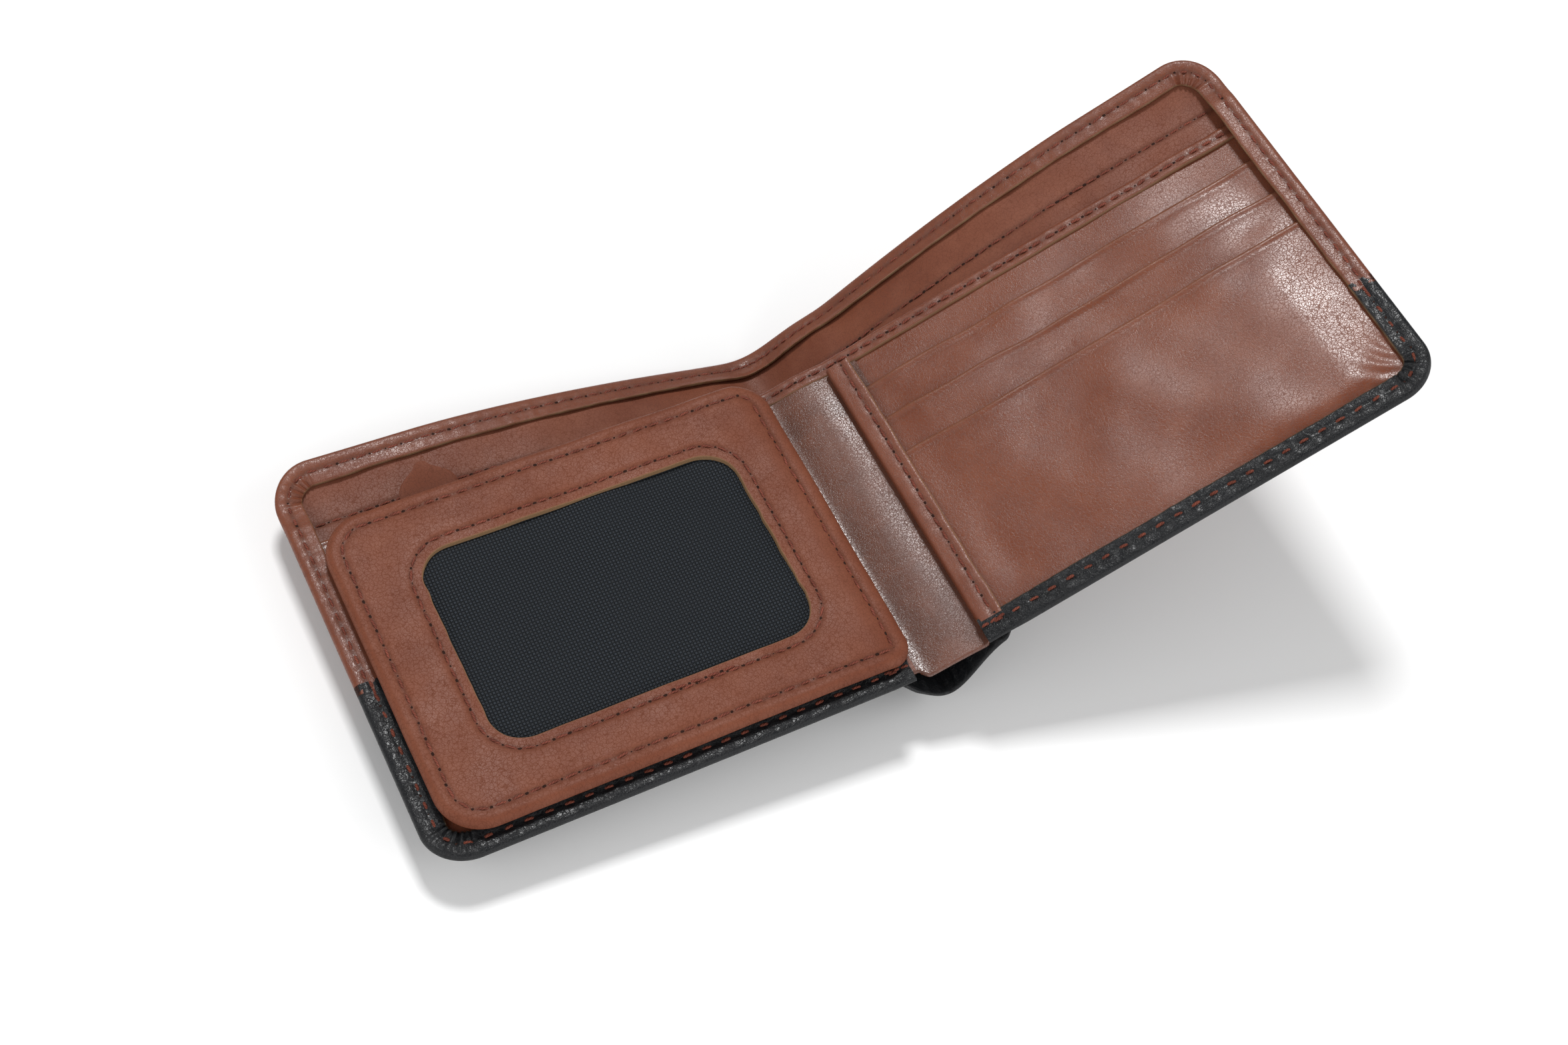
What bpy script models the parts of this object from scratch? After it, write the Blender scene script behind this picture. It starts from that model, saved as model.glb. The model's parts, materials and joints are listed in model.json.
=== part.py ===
"""Bifold wallet, lying open: two leather halves on a folding spine, with a windowed card flap on the left.

Metres, +Z up. X runs across the open wallet, Y runs up each half towards the bill opening.
Every half is drawn in its own flat frame: u is the distance from the fold hinge towards the outer edge,
y the height above the bottom edge, and z the height above the inner leather. Lengths below are millimetres.
"""

import math

import bmesh
import bpy
from mathutils import Matrix, Vector

MM = 0.001
GAP = 0.2
THREAD_GAP = 0.15

# Outline of one half
HALF_WIDTH = 100.0
HEIGHT = 91.0
CORNER_RADIUS = 9.0
CORNER_STEPS = 4

# How the wallet lies open
OPENING_FROM_FLAT = math.radians(22.6)
LEFT_TILT = math.radians(4.4)
FOLD_LINE_TO_LEFT_HINGE = 3.0
FOLD_LINE_TO_RIGHT_HINGE = 10.3
HINGE_DEPTH = 2.5

# Layers of a half, as heights above the inner leather
COVER_THICKNESS = 0.9
LINING_THICKNESS = 0.3
PANEL_THICKNESS = 0.45
PANEL_TOP = -0.1
PANEL_PITCH = PANEL_THICKNESS + GAP
DIVIDER_TOP = PANEL_TOP - 3 * PANEL_PITCH
LINING_TOP = DIVIDER_TOP - PANEL_PITCH
COVER_TOP = LINING_TOP - LINING_THICKNESS - GAP
COVER_BOTTOM = COVER_TOP - COVER_THICKNESS

# Turned-in hems
HEM_WIDTH = 5.6
HEM_THICKNESS = 0.9
HEM_WALL = 1.2
HEM_REST = 0.4
HEM_TOP = PANEL_TOP + GAP + HEM_THICKNESS
EDGE_INSET = HEM_WALL + GAP

# The black lower leather meets the brown upper leather on a sloping seam
SEAM_AT_SPINE = 34.0
SEAM_RISE = 7.0

# Bill compartment
DIVIDER_HEIGHT = 72.0
BAND_WIDTH = 3.5
BAND_THICKNESS = 0.5
FACING_HEIGHT = 21.0
TOP_HEM_WIDTH = 5.0
MOUTH_DEPTH = 13.5
MOUTH_LENGTH = 70.0
MOUTH_START = 20.0
MOUTH_NARROWING = 1.7
MOUTH_OPENING = 1.5
CORNER_CURL = 4.0
CURL_START = 78.0
FOLD_LEVELS = (50.0, 60.0, HEIGHT - FACING_HEIGHT, CURL_START)
COLUMN_STEPS = 6

# Spine loop
LOOP_OVERHANG = 5.0
LOOP_GAP = 0.36
LOOP_DEPTH_BOTTOM = 15.0
LOOP_DEPTH_TOP = 18.5
LOOP_STEPS = 12
LOOP_SLOPE_STEP = 0.01

# Card slots on the right half
POCKET_TOP = 45.0
SLOT_PITCH = 8.9
SLOT_TUCK = 12.0
SLOT_START = 1.0
STRIP_WIDTH = 5.2
STRIP_START = -0.3
STRIP_BOTTOM = 6.5
STRIP_WALL = 1.0

# Left half under the flap
LEFT_PANEL_TOP = 73.0
TAB_CENTRE = 68.0
TAB_WIDTH = 26.0
TAB_TOP = 81.0
TAB_BOTTOM = 60.0
TAB_RADII = (1.0, 1.0, 12.0, 12.0)

# Card flap with its window
FLAP_START = 1.8
FLAP_END = 95.7
FLAP_BOTTOM = 4.0
FLAP_TOP = 74.0
FLAP_RADII = (12.0, 9.0, 9.0, 7.0)
FLAP_BACK_BASE = HEM_TOP + GAP
FLAP_BACK_THICKNESS = 0.6
FLAP_FRONT_THICKNESS = 2.0
MESH_THICKNESS = 0.4
WINDOW_START = 15.4
WINDOW_END = 80.8
WINDOW_BOTTOM = 17.3
WINDOW_TOP = 60.8
WINDOW_CORNER = 7.0
WINDOW_LAP = 3.5
FLAP_HINGE = 2.0
HINGE_STRIP_START = 3.0
HINGE_STRIP_END = 12.0
HINGE_STRIP_BOTTOM = 8.0
HINGE_STRIP_TOP = 68.0
HINGE_STRIP_RADII = (1.0, 1.0, 1.0, 1.0)

# Seams
THREAD_WIDTH = 0.7
THREAD_THICKNESS = 0.3
HEM_SEAM_INSET = 2.8
FLAP_SEAM_INSET = 3.2
WINDOW_SEAM_OUTSET = 2.2
FACING_SEAM_INSET = 8.0

RIGHT = 1
LEFT = -1

COLOURS = {
    "brown_leather": ((0.235, 0.102, 0.063), 0.42),
    "dark_leather": ((0.090, 0.040, 0.028), 0.30),
    "black_leather": ((0.030, 0.033, 0.038), 0.50),
    "lining_leather": ((0.200, 0.085, 0.052), 0.50),
    "fabric": ((0.045, 0.035, 0.032), 0.90),
    "mesh_fabric": ((0.028, 0.032, 0.037), 0.75),
    "thread": ((0.110, 0.038, 0.026), 0.70),
}


# ---------------------------------------------------------------- scene and materials


def clear_scene():
    """Removes every object of the startup scene."""
    for obj in list(bpy.data.objects):
        bpy.data.objects.remove(obj, do_unlink=True)


def make_material(name, finish):
    """A Principled material of one of the finishes in COLOURS."""
    colour, roughness = COLOURS[finish]
    material = bpy.data.materials.new(name)
    material.use_nodes = True
    shader = material.node_tree.nodes["Principled BSDF"]
    shader.inputs["Base Color"].default_value = (*colour, 1.0)
    shader.inputs["Roughness"].default_value = roughness
    shader.inputs["Metallic"].default_value = 0.0
    return material


def empty_at(name, parent, matrix):
    """An empty on a joint's axis, which carries one body."""
    empty = bpy.data.objects.new(name, None)
    bpy.context.scene.collection.objects.link(empty)
    empty.parent = parent
    empty.matrix_local = matrix
    return empty


def add_object(name, mesh_builder, carrier, finish):
    """Turns a bmesh in millimetres into a named object in metres on its carrier."""
    bmesh.ops.scale(mesh_builder, vec=(MM, MM, MM), verts=mesh_builder.verts)
    bmesh.ops.recalc_face_normals(mesh_builder, faces=mesh_builder.faces)
    mesh = bpy.data.meshes.new(name)
    mesh_builder.to_mesh(mesh)
    mesh_builder.free()
    mesh.materials.append(make_material(name, finish))
    obj = bpy.data.objects.new(name, mesh)
    bpy.context.scene.collection.objects.link(obj)
    obj.parent = carrier
    return obj


# ---------------------------------------------------------------- shapes of the surfaces


def ramp(value, start, end):
    """0 before start, 1 after end, straight between."""
    return min(1.0, max(0.0, (value - start) / (end - start)))


def mouth(u, y):
    """How far the cover gapes away from the divider at (u, y)."""
    along = max(0.0, 1.0 - max(u, 0.0) / MOUTH_LENGTH) ** MOUTH_NARROWING
    return MOUTH_DEPTH * along * ramp(y, MOUTH_START, HEIGHT) ** MOUTH_OPENING


def curl(u, y):
    """How far the top outer corner of the cover curls forward at (u, y)."""
    return CORNER_CURL * (max(u, 0.0) / HALF_WIDTH) ** 2 * ramp(y, CURL_START, HEIGHT)


def cover_shift(u, y):
    """Height of the cover and its lining above their flat position."""
    return curl(u, y) - mouth(u, y)


def lower_edge(u, inset):
    """Bottom outline of a half with a rounded outer corner, moved inwards by inset."""
    radius = CORNER_RADIUS - inset
    reach = min(max(u - (HALF_WIDTH - CORNER_RADIUS), 0.0), radius)
    return inset + radius - math.sqrt(radius**2 - reach**2)


def columns(start, steps, inset):
    """Places along u: even steps up to the corner, then steps round the corner's arc."""
    corner = HALF_WIDTH - CORNER_RADIUS
    radius = CORNER_RADIUS - inset
    straight = [start + (corner - start) * n / steps for n in range(steps + 1)]
    turns = [math.pi / 2 * n / CORNER_STEPS for n in range(1, CORNER_STEPS + 1)]
    return straight + [corner + radius * math.sin(turn) for turn in turns]


def cover_columns():
    """Places along u of the cover and its linings."""
    return columns(LOOP_OVERHANG + LOOP_GAP / 2, COLUMN_STEPS, EDGE_INSET)


def seam_height(side, u):
    """Where black leather ends and brown begins, sloping down from the left edge to the right."""
    return SEAM_AT_SPINE - side * SEAM_RISE * u / HALF_WIDTH


# ---------------------------------------------------------------- builders of closed solids


def grid_faces(builder, grid):
    """Faces of a grid of vertices."""
    for column, following in zip(grid, grid[1:]):
        for row in range(len(column) - 1):
            builder.faces.new((column[row], following[row], following[row + 1], column[row + 1]))


def thick_grid(name, top_points, bottom_points, carrier, finish):
    """A closed sheet between two grids of points, joined round their rims."""
    builder = bmesh.new()
    top = [[builder.verts.new(point) for point in column] for column in top_points]
    bottom = [[builder.verts.new(point) for point in column] for column in bottom_points]
    grid_faces(builder, top)
    grid_faces(builder, bottom)
    for near, far in zip(rim(top), rim(bottom)):
        builder.faces.new((near[0], near[1], far[1], far[0]))
    return add_object(name, builder, carrier, finish)


def rim(grid):
    """The edges round a grid, in order."""
    loop = [column[0] for column in grid]
    loop += grid[-1][1:]
    loop += [column[-1] for column in reversed(grid[:-1])]
    loop += list(reversed(grid[0][1:-1]))
    return list(zip(loop, loop[1:] + loop[:1]))


def bend_levels(low, high, seam):
    """Heights from low to high, with every height between them at which the layers bend."""
    bends = sorted((MOUTH_START, seam, *FOLD_LEVELS))
    inner = [height for height in bends if low + GAP < height < high - GAP]
    return [low, *inner, high]


def half_sheet(name, half, places, y_range, top, thickness, finish):
    """A sheet of one half that bends with the cover. y_range(u) gives its lowest and highest y."""
    side, carrier = half
    grids = []
    for base in (top, top - thickness):
        grid = []
        for u in places:
            low, high = y_range(u)
            heights = bend_levels(low, high, seam_height(side, u))
            grid.append([Vector((side * u, y, base + HINGE_DEPTH + cover_shift(u, y))) for y in heights])
        grids.append(grid)
    return thick_grid(name, grids[0], grids[1], carrier, finish)


def flat_panel(name, half, start, top_edge, top, finish):
    """A flat leather panel of one half, with its bottom outer corner rounded."""
    side, carrier = half
    inset = EDGE_INSET + GAP
    places = columns(start, 1, inset)
    grids = []
    for base in (top, top - PANEL_THICKNESS):
        z = base + HINGE_DEPTH
        grids.append([[Vector((side * u, y, z)) for y in (lower_edge(u, inset), top_edge)] for u in places])
    return thick_grid(name, grids[0], grids[1], carrier, finish)


def swept_band(name, half, path, profile, finish):
    """A bar along a path of (u, y, inward u, inward y). profile lists its corners as (inward, height)."""
    side, carrier = half
    builder = bmesh.new()
    rings = []
    for path_u, path_y, inward_u, inward_y in path:
        ring = []
        for offset, height in profile:
            u = path_u + inward_u * offset
            y = path_y + inward_y * offset
            ring.append(builder.verts.new((side * u, y, height(u, y) + HINGE_DEPTH)))
        rings.append(ring)
    for ring, following in zip(rings, rings[1:]):
        for corner in range(len(ring)):
            after = (corner + 1) % len(ring)
            builder.faces.new((ring[corner], following[corner], following[after], ring[after]))
    builder.faces.new(rings[0])
    builder.faces.new(list(reversed(rings[-1])))
    return add_object(name, builder, carrier, finish)


def rounded_outline(low, high, radii):
    """Points round a box from low to high. radii go near-bottom, far-bottom, far-top, near-top."""
    points = []
    for number, (corner, radius) in enumerate(zip(box_outline(low, high), radii)):
        centre_u = corner[0] + radius * (1 if number in (0, 3) else -1)
        centre_y = corner[1] + radius * (1 if number in (0, 1) else -1)
        for step in range(CORNER_STEPS + 1):
            turn = math.pi * (1 + number / 2) + math.pi / 2 * step / CORNER_STEPS
            points.append((centre_u + radius * math.cos(turn), centre_y + radius * math.sin(turn)))
    return points


def box_outline(low, high):
    """The four corners of a box from low to high."""
    return [(low[0], low[1]), (high[0], low[1]), (high[0], high[1]), (low[0], high[1])]


def plate(name, half, outline, base, thickness, finish, hole=None, lift=0.0):
    """A flat plate of an outline, with a hole of as many points if one is given."""
    side, carrier = half
    builder = bmesh.new()
    loops = []
    for height in (base + thickness, base):
        for points in [outline] + ([hole] if hole else []):
            loops.append([builder.verts.new((side * u, y, height + lift)) for u, y in points])
    count = len(outline)
    pairs = [(0, 1), (1, 3), (3, 2), (2, 0)] if hole else [(0, 1)]
    for one, other in pairs:
        for n in range(count):
            after = (n + 1) % count
            builder.faces.new((loops[one][n], loops[one][after], loops[other][after], loops[other][n]))
    if not hole:
        builder.faces.new(loops[0])
        builder.faces.new(list(reversed(loops[1])))
    return add_object(name, builder, carrier, finish)


# ---------------------------------------------------------------- outer cover and hems


def hem_top(u, y):
    """Top of the hem: over the pockets on the sides, and close on the lining above the divider."""
    over_lining = LINING_TOP + HEM_REST + HEM_THICKNESS + cover_shift(u, y)
    blend = ramp(y, DIVIDER_HEIGHT + BAND_WIDTH, HEIGHT - CORNER_RADIUS)
    return HEM_TOP + (over_lining - HEM_TOP) * blend


def cover_bottom(u, y):
    """Outer face of the cover."""
    return COVER_BOTTOM + cover_shift(u, y)


def flange_profile(bottom, top, width, wall, thickness):
    """Corners of a wall with a flange turned inwards at its top. bottom and top are heights at (u, y)."""

    def under(u, y):
        return top(u, y) - thickness

    return [(0.0, bottom), (0.0, top), (width, top), (width, under), (wall, under), (wall, bottom)]


def level(height):
    """The same height everywhere."""
    return lambda u, y: height


def corner_path(centre_y, first_turn):
    """The outline round one outer corner, as path points with their inward directions."""
    points = []
    for step in range(CORNER_STEPS + 1):
        turn = first_turn + math.pi / 2 * step / CORNER_STEPS
        out_u = math.cos(turn)
        out_y = math.sin(turn)
        centre_u = HALF_WIDTH - CORNER_RADIUS
        points.append((centre_u + CORNER_RADIUS * out_u, centre_y + CORNER_RADIUS * out_y, -out_u, -out_y))
    return points


def black_path(side):
    """Along the bottom edge from the spine, round the corner and up to the colour seam."""
    top = seam_height(side, HALF_WIDTH)
    first = (LOOP_OVERHANG + LOOP_GAP, 0.0, 0.0, 1.0)
    last = (HALF_WIDTH, top, -1.0, 0.0)
    return [first, *corner_path(CORNER_RADIUS, -math.pi / 2), last]


def brown_path(side):
    """Up the outer edge from the colour seam, round the corner and along the bill opening to the spine."""
    start = seam_height(side, HALF_WIDTH) + GAP
    side_points = [(HALF_WIDTH, start, -1.0, 0.0), (HALF_WIDTH, DIVIDER_HEIGHT + BAND_WIDTH, -1.0, 0.0)]
    top_places = reversed(cover_columns()[:COLUMN_STEPS])
    top_points = [(u, HEIGHT, 0.0, -1.0) for u in top_places]
    return side_points + corner_path(HEIGHT - CORNER_RADIUS, 0.0) + top_points


def make_hems(side_name, half):
    """The black and the brown turned-in edge of one half."""
    side = half[0]
    profile = flange_profile(cover_bottom, hem_top, HEM_WIDTH, HEM_WALL, HEM_THICKNESS)
    swept_band(f"hem_black_{side_name}", half, black_path(side), profile, "black_leather")
    swept_band(f"hem_brown_{side_name}", half, brown_path(side), profile, "brown_leather")


def make_cover(side_name, half):
    """The outer leather of one half: black below the seam, brown above it."""
    side = half[0]
    places = cover_columns()

    def lower(u):
        return lower_edge(u, EDGE_INSET), seam_height(side, u) - GAP / 2

    def upper(u):
        return seam_height(side, u) + GAP / 2, HEIGHT - lower_edge(u, EDGE_INSET)

    half_sheet(f"cover_lower_{side_name}", half, places, lower, COVER_TOP, COVER_THICKNESS, "black_leather")
    half_sheet(f"cover_upper_{side_name}", half, places, upper, COVER_TOP, COVER_THICKNESS, "brown_leather")


def make_lining(side_name, half):
    """The leather facing along the bill opening and the fabric lining below it."""
    places = cover_columns()
    facing_start = HEIGHT - FACING_HEIGHT

    def fabric(u):
        return lower_edge(u, EDGE_INSET), facing_start - GAP

    def facing(u):
        return facing_start, HEIGHT - lower_edge(u, EDGE_INSET)

    layer = (LINING_TOP, LINING_THICKNESS)
    half_sheet(f"lining_{side_name}", half, places, fabric, *layer, "fabric")
    half_sheet(f"lining_facing_{side_name}", half, places, facing, *layer, "lining_leather")


def make_divider(side_name, half):
    """The front wall of the bill compartment and the rolled band along its top."""
    flat_panel(f"divider_{side_name}", half, GAP, DIVIDER_HEIGHT, DIVIDER_TOP, "brown_leather")
    band_end = HALF_WIDTH - EDGE_INSET - GAP
    path = [(u, DIVIDER_HEIGHT + GAP + BAND_THICKNESS, 0.0, -1.0) for u in (band_end, GAP)]
    bottom = level(DIVIDER_TOP - PANEL_THICKNESS)
    top = level(DIVIDER_TOP + GAP + BAND_THICKNESS)
    profile = flange_profile(bottom, top, BAND_WIDTH, BAND_THICKNESS, BAND_THICKNESS)
    swept_band(f"divider_band_{side_name}", half, path, profile, "brown_leather")


# ---------------------------------------------------------------- right half


def make_card_pockets(half):
    """Three card slots stepped up behind a deep front pocket."""
    flat_panel("card_pocket_front", half, SLOT_START, POCKET_TOP, PANEL_TOP, "brown_leather")
    end = HALF_WIDTH - EDGE_INSET - GAP
    for number in (1, 2):
        top = POCKET_TOP + SLOT_PITCH * number
        outline = box_outline((SLOT_START, top - SLOT_PITCH - SLOT_TUCK), (end, top))
        base = PANEL_TOP - PANEL_PITCH * number - PANEL_THICKNESS
        name = f"card_slot_{number}"
        plate(name, half, outline, base, PANEL_THICKNESS, "brown_leather", lift=HINGE_DEPTH)


def make_binding_strip(half):
    """The upright strip that binds the spine side of the card slots."""
    strip_top = DIVIDER_HEIGHT - BAND_WIDTH
    path = [(STRIP_START, strip_top, 1.0, 0.0), (STRIP_START, STRIP_BOTTOM, 1.0, 0.0)]
    bottom = level(DIVIDER_TOP + GAP)
    profile = flange_profile(bottom, level(HEM_TOP), STRIP_WIDTH, STRIP_WALL, HEM_THICKNESS)
    swept_band("binding_strip", half, path, profile, "brown_leather")


# ---------------------------------------------------------------- left half and its flap


def make_left_panel(half):
    """The slip pocket under the flap, the tab behind it, and the strip that the flap is sewn to."""
    flat_panel("left_slip_pocket", half, FLAP_HINGE, LEFT_PANEL_TOP, PANEL_TOP, "brown_leather")
    low = (TAB_CENTRE - TAB_WIDTH / 2, TAB_BOTTOM)
    high = (TAB_CENTRE + TAB_WIDTH / 2, TAB_TOP)
    base = PANEL_TOP - PANEL_PITCH - PANEL_THICKNESS
    tab = rounded_outline(low, high, TAB_RADII)
    plate("left_pocket_tab", half, tab, base, PANEL_THICKNESS, "lining_leather", lift=HINGE_DEPTH)
    strip_low = (HINGE_STRIP_START, HINGE_STRIP_BOTTOM)
    strip_high = (HINGE_STRIP_END, HINGE_STRIP_TOP)
    strip = rounded_outline(strip_low, strip_high, HINGE_STRIP_RADII)
    base = PANEL_TOP + GAP
    plate("flap_hinge_strip", half, strip, base, HEM_THICKNESS, "brown_leather", lift=HINGE_DEPTH)


def flap_outline(inset):
    """The flap's outline moved inwards, with its corner at the hinge's bottom end cut back."""
    low = (FLAP_START + inset, FLAP_BOTTOM + inset)
    high = (FLAP_END - inset, FLAP_TOP - inset)
    return rounded_outline(low, high, [radius - inset for radius in FLAP_RADII])


def window_outline(outset):
    """The window's outline moved outwards."""
    low = (WINDOW_START - outset, WINDOW_BOTTOM - outset)
    high = (WINDOW_END + outset, WINDOW_TOP + outset)
    return rounded_outline(low, high, (WINDOW_CORNER + outset,) * 4)


def make_flap(carrier):
    """The card flap: a padded leather frame round a fabric window, on a leather back."""
    half = (LEFT, carrier)
    lift = -flap_hinge_height()
    outline = from_flap_hinge(flap_outline(0.0))
    plate("flap_back", half, outline, FLAP_BACK_BASE, FLAP_BACK_THICKNESS, "lining_leather", lift=lift)
    mesh_base = FLAP_BACK_BASE + FLAP_BACK_THICKNESS + GAP
    lapped = from_flap_hinge(window_outline(WINDOW_LAP))
    plate("flap_window_mesh", half, lapped, mesh_base, MESH_THICKNESS, "mesh_fabric", lift=lift)
    front_base = mesh_base + MESH_THICKNESS + GAP
    window = from_flap_hinge(window_outline(0.0))
    thickness = FLAP_FRONT_THICKNESS
    plate("flap_frame", half, outline, front_base, thickness, "brown_leather", hole=window, lift=lift)
    seam_base = front_base + thickness + THREAD_GAP
    outer = flap_outline(FLAP_SEAM_INSET)
    inner = flap_outline(FLAP_SEAM_INSET + THREAD_WIDTH)
    make_ring_seam("flap_edge_thread", half, outer, inner, seam_base, lift)
    outer = window_outline(WINDOW_SEAM_OUTSET)
    inner = window_outline(WINDOW_SEAM_OUTSET - THREAD_WIDTH)
    make_ring_seam("flap_window_thread", half, outer, inner, seam_base, lift)


def from_flap_hinge(outline):
    """An outline measured from the flap's own hinge."""
    return [(u - FLAP_HINGE, y) for u, y in outline]


def make_ring_seam(name, half, outer, inner, base, lift):
    """A closed loop of thread between two outlines of the flap."""
    hole = from_flap_hinge(inner)
    plate(name, half, from_flap_hinge(outer), base, THREAD_THICKNESS, "thread", hole=hole, lift=lift)


def flap_hinge_height():
    """Height of the flap's hinge above the inner leather."""
    return FLAP_BACK_BASE - THREAD_GAP


# ---------------------------------------------------------------- spine


def spine_vector():
    """From the left hinge to the right hinge, in the left half's frame."""
    turn = OPENING_FROM_FLAT
    right_x = FOLD_LINE_TO_RIGHT_HINGE * math.cos(turn) + HINGE_DEPTH * math.sin(turn)
    right_z = FOLD_LINE_TO_RIGHT_HINGE * math.sin(turn) - HINGE_DEPTH * math.cos(turn)
    return right_x + FOLD_LINE_TO_LEFT_HINGE, right_z + HINGE_DEPTH


def spine_turns():
    """(spine's turn from the left half, right half's turn from the spine, spine width)."""
    x, z = spine_vector()
    turn = math.atan2(z, x)
    return turn, OPENING_FROM_FLAT - turn, math.hypot(x, z)


def loop_edges(y, height):
    """The loop's two ends at one height, in the spine's frame, where the two covers stop."""
    left_turn, right_turn, width = spine_turns()
    drop = height + HINGE_DEPTH + cover_shift(LOOP_OVERHANG, y)
    reach = LOOP_OVERHANG - LOOP_GAP / 2
    left = (
        -reach * math.cos(left_turn) + drop * math.sin(left_turn),
        reach * math.sin(left_turn) + drop * math.cos(left_turn),
    )
    right = (
        width + reach * math.cos(right_turn) - drop * math.sin(right_turn),
        reach * math.sin(right_turn) + drop * math.cos(right_turn),
    )
    return left, right


def loop_point(share, y, offset):
    """A point of the loop's lining surface, moved outwards along its normal by offset."""

    def surface(part):
        left, right = loop_edges(y, LINING_TOP)
        depth = LOOP_DEPTH_BOTTOM + (LOOP_DEPTH_TOP - LOOP_DEPTH_BOTTOM) * y / HEIGHT
        middle = (left[1] + right[1]) / 2
        sag = depth - HINGE_DEPTH + middle
        bell = math.cos(math.pi * (part - 0.5)) ** 2
        return left[0] + (right[0] - left[0]) * part, left[1] + (right[1] - left[1]) * part - sag * bell

    x, z = surface(share)
    before = surface(share - LOOP_SLOPE_STEP)
    after = surface(share + LOOP_SLOPE_STEP)
    run = after[0] - before[0]
    rise = after[1] - before[1]
    length = math.hypot(run, rise)
    return Vector((x + offset * rise / length, y, z - offset * run / length))


def loop_sheet(name, carrier, low, high, offset, thickness, finish):
    """A sheet of the spine loop between two heights."""
    shares = [n / LOOP_STEPS for n in range(LOOP_STEPS + 1)]
    heights = bend_levels(low, high, SEAM_AT_SPINE)
    inner = [[loop_point(share, y, offset) for y in heights] for share in shares]
    outer = [[loop_point(share, y, offset + thickness) for y in heights] for share in shares]
    return thick_grid(name, inner, outer, carrier, finish)


def make_spine(carrier):
    """The loop of cover round the spine, its linings, and the inner strip of the divider."""
    cover_offset = LINING_THICKNESS + GAP
    facing_start = HEIGHT - FACING_HEIGHT
    hem_start = HEIGHT - TOP_HEM_WIDTH
    seam_low = SEAM_AT_SPINE - GAP / 2
    seam_high = SEAM_AT_SPINE + GAP / 2
    cover = (cover_offset, COVER_THICKNESS)
    lining = (0.0, LINING_THICKNESS)
    loop_sheet("cover_lower_spine", carrier, 0.0, seam_low, *cover, "black_leather")
    loop_sheet("cover_upper_spine", carrier, seam_high, HEIGHT, *cover, "brown_leather")
    loop_sheet("lining_spine", carrier, EDGE_INSET, facing_start - GAP, *lining, "fabric")
    loop_sheet("lining_facing_spine", carrier, facing_start, HEIGHT, *lining, "lining_leather")
    hem_offset = -HEM_REST - HEM_THICKNESS
    loop_sheet("hem_brown_spine", carrier, hem_start, HEIGHT, hem_offset, HEM_THICKNESS, "brown_leather")
    strip_low = (GAP, EDGE_INSET)
    strip_high = (spine_turns()[2] - GAP, DIVIDER_HEIGHT - BAND_WIDTH)
    half = (RIGHT, carrier)
    base = DIVIDER_TOP - PANEL_THICKNESS
    strip = box_outline(strip_low, strip_high)
    plate("divider_spine", half, strip, base, PANEL_THICKNESS, "dark_leather", lift=HINGE_DEPTH)
    band_low = (strip_low[0], strip_high[1] + GAP)
    band_high = (strip_high[0], DIVIDER_HEIGHT + GAP + BAND_THICKNESS)
    band_thickness = PANEL_THICKNESS + GAP + BAND_THICKNESS
    band = box_outline(band_low, band_high)
    plate("divider_band_spine", half, band, base, band_thickness, "brown_leather", lift=HINGE_DEPTH)


# ---------------------------------------------------------------- seams


def thread_profile(inset, surface):
    """A thread's four corners, inset from a path, lying just above surface(u, y)."""

    def base(u, y):
        return surface(u, y) + THREAD_GAP

    def top(u, y):
        return base(u, y) + THREAD_THICKNESS

    return [(inset, base), (inset, top), (inset + THREAD_WIDTH, top), (inset + THREAD_WIDTH, base)]


def make_hem_seams(side_name, half):
    """Thread along the black and the brown hem of one half."""
    side = half[0]
    profile = thread_profile(HEM_SEAM_INSET, hem_top)
    swept_band(f"hem_black_thread_{side_name}", half, black_path(side), profile, "thread")
    swept_band(f"hem_brown_thread_{side_name}", half, brown_path(side), profile, "thread")


def make_facing_seam(side_name, half):
    """Thread along the lower edge of the leather facing."""
    places = reversed(cover_columns()[: COLUMN_STEPS + 1])
    path = [(u, HEIGHT - FACING_HEIGHT + FACING_SEAM_INSET, 0.0, -1.0) for u in places]

    def surface(u, y):
        return LINING_TOP + cover_shift(u, y)

    swept_band(f"facing_thread_{side_name}", half, path, thread_profile(0.0, surface), "thread")


def make_card_panel_seams(half):
    """Thread down the binding strip and along the divider's band."""
    strip_seam = STRIP_START + STRIP_WIDTH - HEM_THICKNESS - THREAD_WIDTH
    strip_top = DIVIDER_HEIGHT - BAND_WIDTH
    strip = [(strip_seam, strip_top, 1.0, 0.0), (strip_seam, STRIP_BOTTOM, 1.0, 0.0)]
    swept_band("binding_thread", half, strip, thread_profile(0.0, level(HEM_TOP)), "thread")
    band_end = HALF_WIDTH - EDGE_INSET - GAP
    band_middle = DIVIDER_HEIGHT - BAND_WIDTH / 2 + BAND_THICKNESS
    band = [(u, band_middle, 0.0, -1.0) for u in (band_end, GAP)]
    band_top = level(DIVIDER_TOP + GAP + BAND_THICKNESS)
    swept_band("divider_band_thread", half, band, thread_profile(0.0, band_top), "thread")


# ---------------------------------------------------------------- assembly


def make_carriers():
    """One empty on each hinge axis, from the left half, which carries the rest, to the right half."""
    left_turn, right_turn, width = spine_turns()
    left = empty_at("left_half", None, Matrix.Rotation(-LEFT_TILT, 4, "Y"))
    spine = empty_at("spine", left, Matrix.Rotation(-left_turn, 4, "Y"))
    right_place = Matrix.Translation((width * MM, 0.0, 0.0)) @ Matrix.Rotation(-right_turn, 4, "Y")
    right = empty_at("right_half", spine, right_place)
    flap_place = Matrix.Translation((-FLAP_HINGE * MM, 0.0, (flap_hinge_height() + HINGE_DEPTH) * MM))
    flap = empty_at("id_flap", left, flap_place)
    return left, spine, right, flap


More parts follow.
